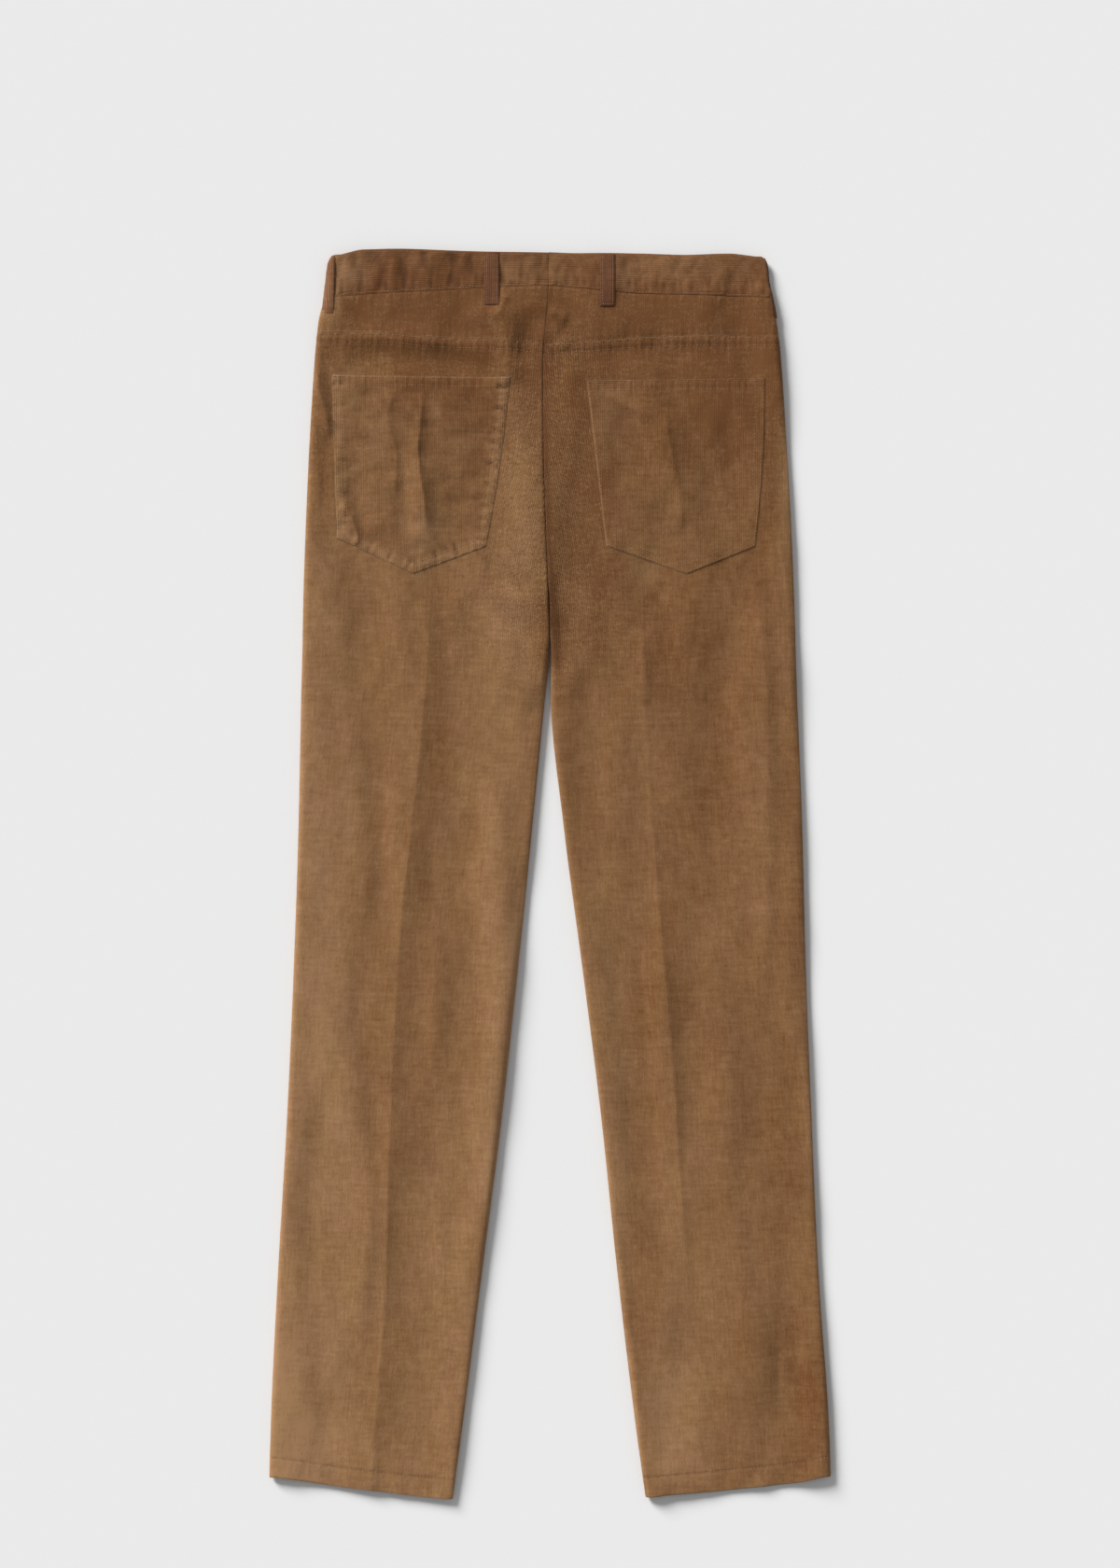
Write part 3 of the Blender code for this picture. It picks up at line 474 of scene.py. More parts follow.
SEAM_SHADE, SEAM_SHADE_WIDE = {LEFT: 0.5, RIGHT: 0.7}, {LEFT: 1.2, RIGHT: 3.0}
SHADE_DEPTH = 0.6  # how much of the pile's light a seam's shade takes
END_PILE, INSIDE_PILE = 0.9, 0.5  # the pile along a panel's side edges, and on the cloth's inside

# Colours, as linear red, green and blue, by tone
CORD_COLOURS = (
    (0.0, (0.136, 0.051, 0.012)),
    (0.5, (0.223, 0.110, 0.043)),
    (1.0, (0.328, 0.180, 0.084)),
)
BAND_COLOURS = (
    (0.0, (0.141, 0.052, 0.013)),
    (0.5, (0.228, 0.112, 0.046)),
    (1.0, (0.332, 0.185, 0.087)),
)
LOOP_COLOURS = (
    (0.0, (0.125, 0.046, 0.017)),
    (0.5, (0.190, 0.082, 0.036)),
    (1.0, (0.280, 0.136, 0.068)),
)
THREAD_COLOURS = ((0.0, (0.185, 0.096, 0.045)), (1.0, (0.275, 0.155, 0.082)))
HORN_COLOURS = ((0.0, (0.020, 0.010, 0.005)), (1.0, (0.130, 0.070, 0.034)))
GROOVE_SHADE_TINT = (1.09, 0.97, 0.84)  # painted shade between the ribs, warmer than the rest
CORD_GROOVE_SHADE, BAND_GROOVE_SHADE = 0.52, 0.5  # how light the colour is left by the painted shade there
CORD_SHEEN, LOOP_SHEEN = (1.0, 0.82, 0.62), (1.0, 0.78, 0.6)
REDDER, GREENER = (1.007, 0.993, 1.05, 1), (0.993, 1.007, 0.94, 1)  # uneven dye
FLOOR_COLOUR = (0.80, 0.80, 0.80)

# Light and camera
WORLD_STRENGTH, SUN_STRENGTH = 0.34, 5.78
SUN_HEIGHT, SUN_FROM, SUN_WIDTH = 22.0, 130.0, 22.0  # degrees
FLOOR_HALF, FLOOR_BELOW = 4.0, -0.0004
CAMERA_PLACE = (0.00925, 0.0828, 3.2093)


# Curves and folds

def slopes_at(places, values):
    """Slopes of a smooth curve through a column's rows, level at its peaks: it never overshoots."""
    rises = np.diff(values) / np.diff(places)
    before, after = rises[:-1], rises[1:]
    means = np.zeros_like(before)
    np.divide(2 * before * after, before + after, out=means, where=before * after > 0)
    return np.array([rises[0], *means, rises[-1]])


def read(curves, column, at):
    """A column of a table at the given places, on a smooth curve through its rows."""
    places, values = next(iter(curves.values())), curves[column]
    slopes = slopes_at(places, values)
    at = np.clip(np.asarray(at, float), places[0], places[-1])
    row = np.clip(np.searchsorted(places, at, side="right") - 1, 0, len(places) - 2)
    span = places[row + 1] - places[row]
    t = (at - places[row]) / span
    return (
        (2 * t**3 - 3 * t**2 + 1) * values[row]
        + (t**3 - 2 * t**2 + t) * span * slopes[row]
        + (3 * t**2 - 2 * t**3) * values[row + 1]
        + (t**3 - t**2) * span * slopes[row + 1]
    )


def ease(value, start, end):
    """0 before start, 1 after end, and a smooth step between them."""
    t = np.clip((np.asarray(value, float) - start) / (end - start), 0, 1)
    return t * t * (3 - 2 * t)


def bell(value, half_width):
    """The profile of a soft fold: 1 in the middle, and about 0.37 at the half-width."""
    return np.exp(-((value / half_width) ** 2))


def tent(value, half_width):
    """The profile of a pressed crease: steep on both sides, with a rounding of about 1 mm."""
    return np.exp((1 - np.hypot(value, 1)) / half_width)


def to_path(x, down, path):
    """Distance from each place to a path of (x, down) points, how far along it, and its length.

    The distance is negative to the left of a path that runs down.
    """
    points = np.array(path, float)
    nearest = np.full(np.shape(x), np.inf)
    along = np.zeros(np.shape(x))
    walked = 0.0
    for start, end in zip(points[:-1], points[1:]):
        leg = end - start
        long = math.hypot(*leg)
        from_start = x - start[0], down - start[1]
        t = np.clip((from_start[0] * leg[0] + from_start[1] * leg[1]) / long**2, 0, 1)
        away = np.hypot(from_start[0] - t * leg[0], from_start[1] - t * leg[1])
        away = np.where(from_start[0] * leg[1] < from_start[1] * leg[0], -away, away)
        closer = np.abs(away) < np.abs(nearest)
        along = np.where(closer, walked + t * long, along)
        nearest = np.where(closer, away, nearest)
        walked += long
    return nearest, along, walked


def folds(x, down):
    """Sum of the heights of the folds, with the faint unevenness of the cloth."""
    total = swell(x, down)
    for group, profile in ((SOFT_FOLDS, bell), (SHARP_FOLDS, tent)):
        for fold in group:
            away, along, long = to_path(x, down, fold.path)
            ends = ease(along, 0, fold.taper) * ease(long - along, 0, fold.taper)
            total += fold.height * ends * profile(away, np.where(away < 0, fold.left, fold.right))
    return total


def swell(x, down, waves=36, steepness=0.016, lengths=(18, 95), seed=7):
    """The unevenness of cloth that has been worn and laid down by hand, more along than across."""
    rng = np.random.default_rng(seed)
    total = np.zeros(np.shape(x))
    for _ in range(waves):
        heading, long = rng.normal(0, 0.5), rng.uniform(*lengths)
        phase = rng.uniform(0, math.tau)
        turn = (x * math.cos(heading) + down * math.sin(heading)) * math.tau / long
        total += steepness * long / math.tau * np.sin(turn + phase)
    return total


def underside(down):
    """Height of the front's outer face: on the table, but for the lift at the waist."""
    return FRONT_LIFT * (1 - ease(down, *FRONT_LIFT_END))


def leg_share(down):
    """0 where the panels' inner edges meet in the centre seam, 1 where they close a leg."""
    return ease(down, CROTCH - LEG_CLOSING, CROTCH)


def inner_turn(down):
    """0 where a panel's inner edge is cut square, 1 where the cloth turns down into a roll."""
    return ease(down, CROTCH - LEG_CLOSING - EDGE_TURNING, CROTCH - LEG_CLOSING)


def back_height(x, down, to_side, to_inner):
    """Height of the back's outer face, given the distances to the panel's two edges."""
    flat, rolled = read(HEIGHTS, "flat", down), read(HEIGHTS, "rolled", down)
    near_side = bell(np.maximum(to_side - ROLL, 0), ROLL_FADE)
    near_inner = bell(np.maximum(to_inner - ROLL, 0), ROLL_FADE) * leg_share(down)
    height = flat + (rolled - flat) * np.maximum(near_side, near_inner) + folds(x, down)
    return REST_HEIGHT + REST_SOFTNESS * np.logaddexp(0, (height - REST_HEIGHT) / REST_SOFTNESS)


def edges_x(side, down):
    """x of the side seam and of the inner edge."""
    return read(OUTLINE, f"side_{side}", down), read(OUTLINE, f"inner_{side}", down)


def panel_height(x, down, side):
    """Height of the back's outer face at a place on the flat of one side."""
    side_x, inner_x = edges_x(side, down)
    return back_height(x, down, np.abs(side_x - x), np.abs(inner_x - x))


def spans(side, down, front, gap=0.0):
    """x of the side seam, and widths: the panel's, its inner roll's, and that up to its crease."""
    side_x, inner_x = edges_x(side, down)
    if front:
        inner_x = inner_x * ease(down, CROTCH - FRONT_CLOSING, CROTCH)
    width = np.abs(inner_x + SIGN[side] * gap / 2 - side_x)
    inner_roll = SEAM_ROLL + (ROLL - SEAM_ROLL) * leg_share(down)
    return side_x, width, inner_roll, np.abs(read(CREASES, side, down) - side_x) - ROLL


def stop_at(share, crease):
    """The stop of a share of the width, where stop 0.5 is on the pressed crease."""
    beyond = 0.5 + 0.5 * (share - crease) / (1 - crease)
    return np.where(share < crease, 0.5 * share / crease, beyond)


# Meshes

def vectors(x, y, z):
    """Vectors from three grids or numbers, spread over each other."""
    return np.stack(np.broadcast_arrays(x, y, z), axis=-1)


def points_at(x, down, height):
    """Points in the scene's axes, in millimetres."""
    return vectors(x, LENGTH / 2 - down, height)


def rolled_lengths(steps=90, wide=ROLL, high=3.2):
    """Angles over a quarter of the rolled edge, and the share of its length up to each."""
    angles = np.linspace(0, math.pi / 2, steps + 1)
    legs = np.hypot(np.diff(wide * np.cos(angles)), np.diff(high * np.sin(angles)))
    walked = np.concatenate([[0], np.cumsum(legs)])
    return walked / walked[-1], angles


ROLL_SHARES, ROLL_ANGLES = rolled_lengths()


def roll_angle(share):
    """Angle round a rolled edge at a share of the way from the seam to the flat."""
    return np.interp(share, ROLL_SHARES, ROLL_ANGLES)


def spaced(start, end, steps, edges=EDGE_STEPS, sewn_row=None):
    """Shares from start to end, closer at both ends and at a row of stitches that far from the end.

    steps are (until, step) pairs.
    """
    places = [start + edge for edge in edges]
    last = [end - edge for edge in reversed(edges)]
    while places[-1] < last[0]:
        step = next(step for until, step in steps if places[-1] < until)
        places.append(places[-1] + step)
    places = [place for place in places if place < last[0] - 0.4 * step] + last
    if sewn_row:
        near = [end - sewn_row + offset for offset in ROW_STEPS]
        places = [place for place in places if not near[0] < place < near[-1]] + near
    return (np.sort(places) - start) / (end - start)


def welded(first, second):
    """Numbers the points of a grid so that those with the same two labels are one."""
    first, second = (np.round(label * 1000).astype(np.int64) for label in (first, second))
    _, kept, number = np.unique(first * 10**8 + second, return_index=True, return_inverse=True)
    return kept, number.reshape(first.shape)


def grid_faces(number):
    """Quads of a grid of point numbers, and triangles where it narrows to an edge."""
    a, b = number[:-1, :-1].ravel(), number[:-1, 1:].ravel()
    c, d = number[1:, 1:].ravel(), number[1:, :-1].ravel()
    same = np.stack([a == b, b == c, c == d, d == a])
    whole = (same.sum(0) == 0) & (a != c) & (b != d)
    narrow = same.sum(0) == 1
    first = np.where(same[0], b, a)[narrow]
    second = np.where(same[0] | same[1], c, b)[narrow]
    third = np.where(same[2] | same[3], c, d)[narrow]
    return np.stack([a, b, c, d], axis=1)[whole], np.stack([first, second, third], axis=1)


def open_edges(quads, triangles, count):
    """Directed edges that only one face has."""
    starts = np.concatenate([quads.ravel(), triangles.ravel()])
    ends = np.concatenate([np.roll(quads, -1, 1).ravel(), np.roll(triangles, -1, 1).ravel()])
    free = ~np.isin(starts * count + ends, ends * count + starts)
    return starts[free], ends[free]


def link(name, data):
    """A new object in the scene."""
    made = bpy.data.objects.new(name, data)
    bpy.context.scene.collection.objects.link(made)
    return made


def build(name, points, quads, triangles, attributes, material):
    """A smooth object from arrays of points in millimetres and of faces."""
    mesh = bpy.data.meshes.new(name)
    mesh.vertices.add(len(points))
    mesh.vertices.foreach_set("co", (points * MM).astype(np.float32).ravel())
    corners = np.concatenate([quads.ravel(), triangles.ravel()]).astype(np.int32)
    sizes = np.concatenate([np.full(len(quads), 4), np.full(len(triangles), 3)])
    mesh.loops.add(len(corners))
    mesh.loops.foreach_set("vertex_index", corners)
    mesh.polygons.add(len(sizes))
    starts = np.concatenate([[0], np.cumsum(sizes)[:-1]]).astype(np.int32)
    mesh.polygons.foreach_set("loop_start", starts)
    mesh.update(calc_edges=True)
    for attribute, values in attributes.items():
        kind, key = ("FLOAT", "value") if values.ndim == 1 else ("FLOAT_VECTOR", "vector")
        made = mesh.attributes.new(attribute, kind, "POINT")
        made.data.foreach_set(key, values.astype(np.float32).ravel())
    mesh.shade_smooth()
    mesh.set_sharp_from_angle(angle=math.radians(75))
    mesh.materials.append(material)
    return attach(link(name, mesh), "root")


# Grids of a piece of cloth: its outer face without relief, the way outwards, the thickness, the
# relief, the pile's height from 0 to 1, the place across and along the ribs, the tone, two labels
# that are the same where points are one, how far the pile leans, and a seam's shade
Cloth = namedtuple("Cloth", "skin out thick lift pile grain tone labels lean shade",
                   defaults=(0.0, 0.0))


def shell(name, cloth, material):
    """A closed thin wall of cloth with soft edges."""
    shape = cloth.skin.shape[:-1]
    kept, number = welded(*(np.broadcast_to(label, shape) for label in cloth.labels))
    quads, triangles = grid_faces(number)

    def point_values(grid):
        return np.broadcast_to(grid, shape).ravel()[kept]

    raised = cloth.lift + WALE_HEIGHT * (cloth.pile - 1)
    thick = np.broadcast_to(cloth.thick, shape)
    outer = (cloth.skin + cloth.out * raised[..., None]).reshape(-1, 3)[kept]
    inner = (cloth.skin - cloth.out * thick[..., None]).reshape(-1, 3)[kept]
    count = len(kept)
    starts, ends = open_edges(quads, triangles, count)
    after, before = np.zeros(count, int), np.zeros(count, int)
    after[starts], before[ends] = ends, starts
    rim = np.unique(starts)
    turned = np.zeros(count, int)
    turned[rim] = np.arange(len(rim)) + 2 * count
    away = np.cross(outer[after[rim]] - outer[before[rim]], outer[rim] - inner[rim])
    away /= np.linalg.norm(away, axis=1)[:, None] + 1e-9
    middle = (outer[rim] + inner[rim]) / 2 + away * RIM_BULGE
    upper = np.stack([ends, starts, turned[starts], turned[ends]], axis=1)
    lower = np.stack([turned[ends], turned[starts], starts + count, ends + count], axis=1)
    quads = np.concatenate([quads, quads[:, ::-1] + count, upper, lower])
    triangles = np.concatenate([triangles, triangles[:, ::-1] + count])
    points = np.concatenate([outer, inner, middle])
    a, b, c = points[quads[:, 0]], points[quads[:, 1]], points[quads[:, 2]]
    if np.einsum("ij,ij->i", a, np.cross(b, c)).sum() < 0:
        quads, triangles = quads[:, ::-1], triangles[:, ::-1]

    # the pile attribute also sets the painted shade between the ribs, and a seam's shade lowers it
    pile = point_values(cloth.pile * (1 - SHADE_DEPTH * cloth.shade))
    attributes = {"pile": np.concatenate([pile, np.full(count, INSIDE_PILE), pile[rim]])}
    grain = (cloth.grain * MM).reshape(-1, 3)[kept]
    own = {"grain": grain, "tone": point_values(cloth.tone), "lean": point_values(cloth.lean)}
    for key, values in own.items():
        attributes[key] = np.concatenate([values, values, values[rim]])
    return build(name, points, quads, triangles, attributes, material)


def lay(kind, side, cloth, material):
    """Makes a piece of cloth and hides the solid that it stands for."""
    sheet = SHEETS[kind]
    piece = shell(f"cord_{kind}_{side}", cloth, material)
    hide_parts(f"{sheet.node}_{side}")
    facts = dict(sheet.cut)
    if sheet.rests_on:
        facts["rests_on"] = [f"{sheet.rests_on}_{side}"]


# Relief of the cloth: heights in millimetres, with the tops of the wales at 0. Depths, widths and
# the puckers' spacing are given where they are used.

def wales(across, seed):
    """Share of a rib's height at a distance across the ribs; each rib is a little its own."""
    rng = np.random.default_rng(seed)
    step = np.round(across / WALE_STEP).astype(int)
    rib = np.floor_divide(step, len(WALE_PROFILE))
    own = np.clip(1 + rng.normal(0, 0.07, 1024), 0.75, 1.15)[rib % 1024]
    return np.array(WALE_PROFILE)[step % len(WALE_PROFILE)] * own


def ribs(across, seed, share):
    """Height of the pile from 0 to 1, where only a share of the ribs' depth shows."""
    return 1 - share * (1 - wales(across, seed))


def pressed(pile, lift):
    """The ribs are lower where stitches press them down."""
    return pile * np.clip(1 + 1.5 * np.minimum(lift, 0), 0.3, 1)


def groove(distance, deep, wide=0.9):
    """A trough along a line, at a distance from it."""
    return -deep * bell(distance, wide)


def rounded(distance, deep):
    """How far an edge is rounded off, at a distance from it."""
    return groove(distance, deep, 0.8)


def ripple(along, spacing, seed):
    """Uneven puckers along a row of stitches, from about -1 to 1."""
    rng = np.random.default_rng(seed)
    total = np.zeros(np.shape(along))
    for share, weight in ((1.0, 0.6), (0.63, 0.3), (1.71, 0.2)):
        phase = rng.uniform(0, math.tau)
        total += weight * np.sin(math.tau * along / (spacing * share) + phase)
    return total


def sewn(distance, along, pucker, seed, spacing=PUCKER, deep=0.28, reach=6.0):
    """Grooves of a double row of stitches beside an edge, and the puckers that it draws up."""
    total = sum(groove(distance - row, deep) for row in TWIN_ROWS)
    shown = ease(distance, 0.3, 2.5) * (1 - ease(distance, TWIN_ROWS[-1], TWIN_ROWS[-1] + reach))
    return total + pucker * shown * ripple(along, spacing, seed)


def seat_lean(x, down):
    """1 at the seat's middle, where the cloth lies aslant and its ribs show most, and 0 far off."""
    return bell(x, 62) * ease(down, 45, 90) * (1 - ease(down, 330, 440))


def tone_with_painted_light(x, down, side, shift=0.0):
    """How light the cloth's colour is, from 0 to 1: the brushed pile's tone, with patches that are
    partly painted light and shade, and a shift that may hold painted light or shade.
    """
    total = read(TONE, side, down) + shift
    for x_middle, down_middle, reach_x, reach_down, amount in zip(*TONE_AND_LIGHT_PATCHES.values()):
        away = ((x - x_middle) / reach_x) ** 2 + ((down - down_middle) / reach_down) ** 2
        total = total + amount * np.exp(-away)
    return np.clip(total, 0, 1)


# Panels

# Places of a panel's cloth: x, down and height of its outer face, the way outwards, how far the place
# is over the cloth from the side seam and from the inner edge, how far below the top edge and above
# the bottom edge, and the share to which the inner edge closes a leg there
Places = namedtuple("Places", "x down height out walked left to_top to_bottom legs")


def ended(walked, total):
    """Distances that end where the cloth does, with no sliver of a rib at either end."""
    walked = np.where(walked < SNAP * WALE_STEP, 0, walked)
    return np.where(walked > total - SNAP * WALE_STEP, total, walked)


def panel_places(panel, side, across):
    """Places of a panel's cloth on its solid's outer face.

    across is the distance from the pressed crease over the cloth, since the ribs run along the
    crease, moved off it by the panel's own turn.
    """
    sign, front = SIGN[side], panel.lines is FRONT_LINES
    shares = panel.shares[:, None]

    def ends(stop):
        """`down` of the panel's top and bottom edges."""
        top = read(panel.lines, f"{panel.top}_{side}", stop) + SEAM_GAP
        return top, read(panel.lines, f"{panel.bottom}_{side}", stop)

    stop = np.full((shares.size, across.size), 0.5)
    for _ in range(4):
        top, bottom = ends(stop)
        down = top + (bottom - top) * shares
        side_x, width, inner_roll, crease = spans(side, down, front, SEAM_GAP)
        legs = leg_share(down)
        inner_arc = SEAM_ARC + (ARC - SEAM_ARC) * legs
        flat = width - ROLL - inner_roll
        total = ARC + flat + inner_arc
        walked = ended(ARC + crease + across + panel.turn(across, down, side), total)
        side_angle = roll_angle(walked / ARC)
        inner_angle = roll_angle((total - walked) / inner_arc)
        on_flat = np.clip((walked - ARC) / flat, 0, 1)
        stop = on_flat if front else stop_at(on_flat, crease / flat)

    to_side = ROLL * (1 - np.cos(side_angle)) + flat * on_flat + inner_roll * np.cos(inner_angle)
    middle = (underside(down) + read(HEIGHTS, "rolled", down)) / 2
    if front:
        crown, side_seam = underside(down), middle - SEAM_GAP / 2
        inner_seam = crown + (side_seam - crown) * legs
    else:
        crown = back_height(side_x - sign * to_side, down, to_side, width - to_side)
        side_seam = middle + SEAM_GAP / 2
        deeper = SEAM_DIP_YOKE + (1 - SEAM_DIP_YOKE) * ease(down, *SEAM_DIP_FADE)
        dip = SEAM_DIP[side] * deeper
        inner_seam = crown - dip + (side_seam - crown + dip) * legs
    side_sin, inner_sin = np.sin(side_angle), np.sin(inner_angle)
    height = side_seam + (crown - side_seam) * side_sin
    height = np.where(inner_sin < 1, inner_seam + (crown - inner_seam) * inner_sin, height)

    turned = inner_turn(down)
    outwards = sign * (np.cos(side_angle) - turned * np.cos(inner_angle))
    upwards = side_sin * (turned * inner_sin + 1 - turned) * (-1.0 if front else 1.0)
    out = vectors(outwards, 0.0, upwards) / np.hypot(outwards, upwards)[..., None]
    top, bottom = ends(stop)
    return Places(side_x - sign * to_side, down, height, out, walked, total - walked, down - top,
                  bottom - down, legs)


def straight(across, down, side):
    """Ribs that run along the pressed crease."""
    return 0.0


def seat_turn(across, down, side):
    """Ribs that lean towards the centre seam, the more so the nearer they are to it."""
    return ease(across, -110, 110) * read(SEAT_TURN, "moved", down)


def yoke_turn(across, down, side):
    """Ribs that slant a little, as a yoke is cut."""
    return YOKE_SLANT[side] * (down - YOKE_MIDDLE)


def gathers(distance, along, high, spacing, seed, middle=0.0, reach=7.0):
    """Puckers along an edge, highest at a distance `middle` from it."""
    return high * bell(distance - middle, reach) * ripple(along, spacing, seed)


def back_relief(p, side, seed):
    """Relief of a back panel: its lapped seam with the yoke, the centre seam and the hem."""
    total = sewn(p.to_top, p.x, 0.20, seed) + rounded(p.to_top, 0.15)
    total += LAP * (1 - ease(p.to_top, 9, 14)) + rounded(p.to_bottom, 0.25)
    total += groove(p.to_bottom - HEM_ROW, 0.15 + 0.06 * ripple(p.x, 13.0, seed + 6), 1.0)
    total += gathers(p.to_bottom, p.x + 0.6 * p.to_bottom, 0.16, 9.0, seed + 4, middle=10, reach=9)
    centre = groove(p.left, SEAM_GROOVE[side], 1.1)
    centre += gathers(p.left, p.down, 0.10, 11.0, seed + 8, middle=4, reach=4)
    return total + (1 - p.legs) * centre + p.legs * rounded(p.left, 0.3) + rounded(p.walked, 0.3)


def yoke_relief(p, side, seed):
    """Relief of a yoke, which is drawn up a little by the seams above and below it."""
    total = groove(p.to_bottom, 0.05, 1.5) + groove(p.to_top, 0.15, 1.5)
    total += gathers(p.to_bottom, p.x, 0.12, PUCKER, seed)
    total += ease(p.to_top, 0, 4) * gathers(p.to_top, p.x, 0.16, 8.8, seed + 4, reach=10)
    return total + groove(p.left, 0.12) + rounded(p.walked, 0.3)


def front_relief(p, side, seed):
    """Relief of a front panel: its hem and its sewn edges."""
    total = rounded(p.to_bottom, 0.25) + groove(p.to_bottom - HEM_ROW, 0.28)
    total += gathers(p.to_bottom, p.x, 0.12, 9.0, seed, middle=10, reach=9)
    return total + groove(p.to_top, 0.4, 1.2) + rounded(p.walked, 0.3) + rounded(p.left, 0.3)


# For each panel: the lines of its top and bottom edges, its rows of points, its relief, the seeds of
# relief and ribs, how the ribs turn, and how much painted light lies along its top and bottom edges
Panel = namedtuple("Panel", "lines top bottom shares relief seeds turn rubbed_top rubbed_bottom")
PANELS = {
    "yoke": Panel(BACK_LINES, "band", "yoke", spaced(40, 82, ((99, YOKE_STEP),)),
                  yoke_relief, (21, 31), yoke_turn, 0.0, 1.6),
    "back": Panel(BACK_LINES, "yoke", "hem",
                  spaced(85, 1145, ((97, 2.0), (CROTCH + 60, SEAT_STEP), (1120, LEG_STEP), (1150, 4.0)),
                         sewn_row=HEM_ROW),
                  back_relief, (11, 33), seat_turn, 1.2, 3.0),
    "front": Panel(FRONT_LINES, "band", "hem",
                   spaced(50, 1145, ((112, 9.0), (1120, FRONT_STEP), (1150, 5.0))),
                   front_relief, (15, 35), straight, 0.0, 3.0),
}


def panel_cloth(kind, side, material):
    """The cloth of a leg panel or a yoke."""
    panel = PANELS[kind]
    relief_seed, rib_seed = (seed + SIDES.index(side) for seed in panel.seeds)
    steps = int(PANEL_REACH / WALE_STEP)
    across = np.arange(-steps, steps + 1)[None, :] * WALE_STEP
    p = panel_places(panel, side, across)
    lift = panel.relief(p, side, relief_seed)
    seat, upper = seat_lean(p.x, p.down), 1 - ease(p.down, *UPPER_FADE)
    shown = np.maximum(seat, UPPER_RIBS * upper)
    share = LEG_RIBS[side] + (SEAT_RIBS[side] - LEG_RIBS[side]) * shown
    at_end = (p.walked <= 0) | (p.left <= 0)
    pile = pressed(np.where(at_end, END_PILE, ribs(across, rib_seed, share)), lift)

    # Painted light along the side roll, a leg's inner roll and the top and bottom edges, and painted
    # shade in the hem's stitched groove
    painted_edge_light = bell(p.walked, EDGE_LIGHT_REACH) + p.legs * bell(p.left, EDGE_LIGHT_REACH)
    painted_edge_light += panel.rubbed_top * bell(p.to_top, 1.4) + panel.rubbed_bottom * bell(p.to_bottom, 1.0)
    painted_edge_light -= HEM_GROOVE_SHADE * bell(p.to_bottom - HEM_ROW, 1.2) * ease(p.down, 1000, 1100)
    wide = SEAM_SHADE_WIDE[side] * (1 + 1.3 * ease(p.down, 280, 360))
    shade = SEAM_SHADE[side] * (1 - ease(p.down, CROTCH, CROTCH + 20)) * bell(p.left, wide)
    tone = tone_with_painted_light(p.x, p.down, side, EDGE_LIGHT * painted_edge_light - shade)
    lean = 0.0 if kind == "front" else np.maximum(seat, UPPER_LEAN * upper)
    rows = np.arange(panel.shares.size)[:, None]
    cloth = Cloth(points_at(p.x, p.down, p.height), p.out, CLOTH, lift, pile,
                  vectors(across, p.down, 0.0), tone, (p.walked, rows), lean, shade)
    lay(kind, side, cloth, material)


# Waistband

def wrapped(side, down, angle, beside, away=0.0):
    """Points round the rolled side edge of the waistband, and the way outwards at each.

    angle is 90 degrees on the back and -90 on the front, beside is the distance from the roll over
    the flat, and away the distance out from the waistband.
    """
    side_x, _ = edges_x(side, down)
    above, below = read(HEIGHTS, "flat", down) + BAND_RISE, underside(down)
    x = side_x - SIGN[side] * (ROLL + beside - (ROLL + away) * np.cos(angle))
    height = (above + below) / 2 + ((above - below) / 2 + away) * np.sin(angle)
    return points_at(x, down, height), vectors(SIGN[side] * np.cos(angle), 0.0, np.sin(angle))


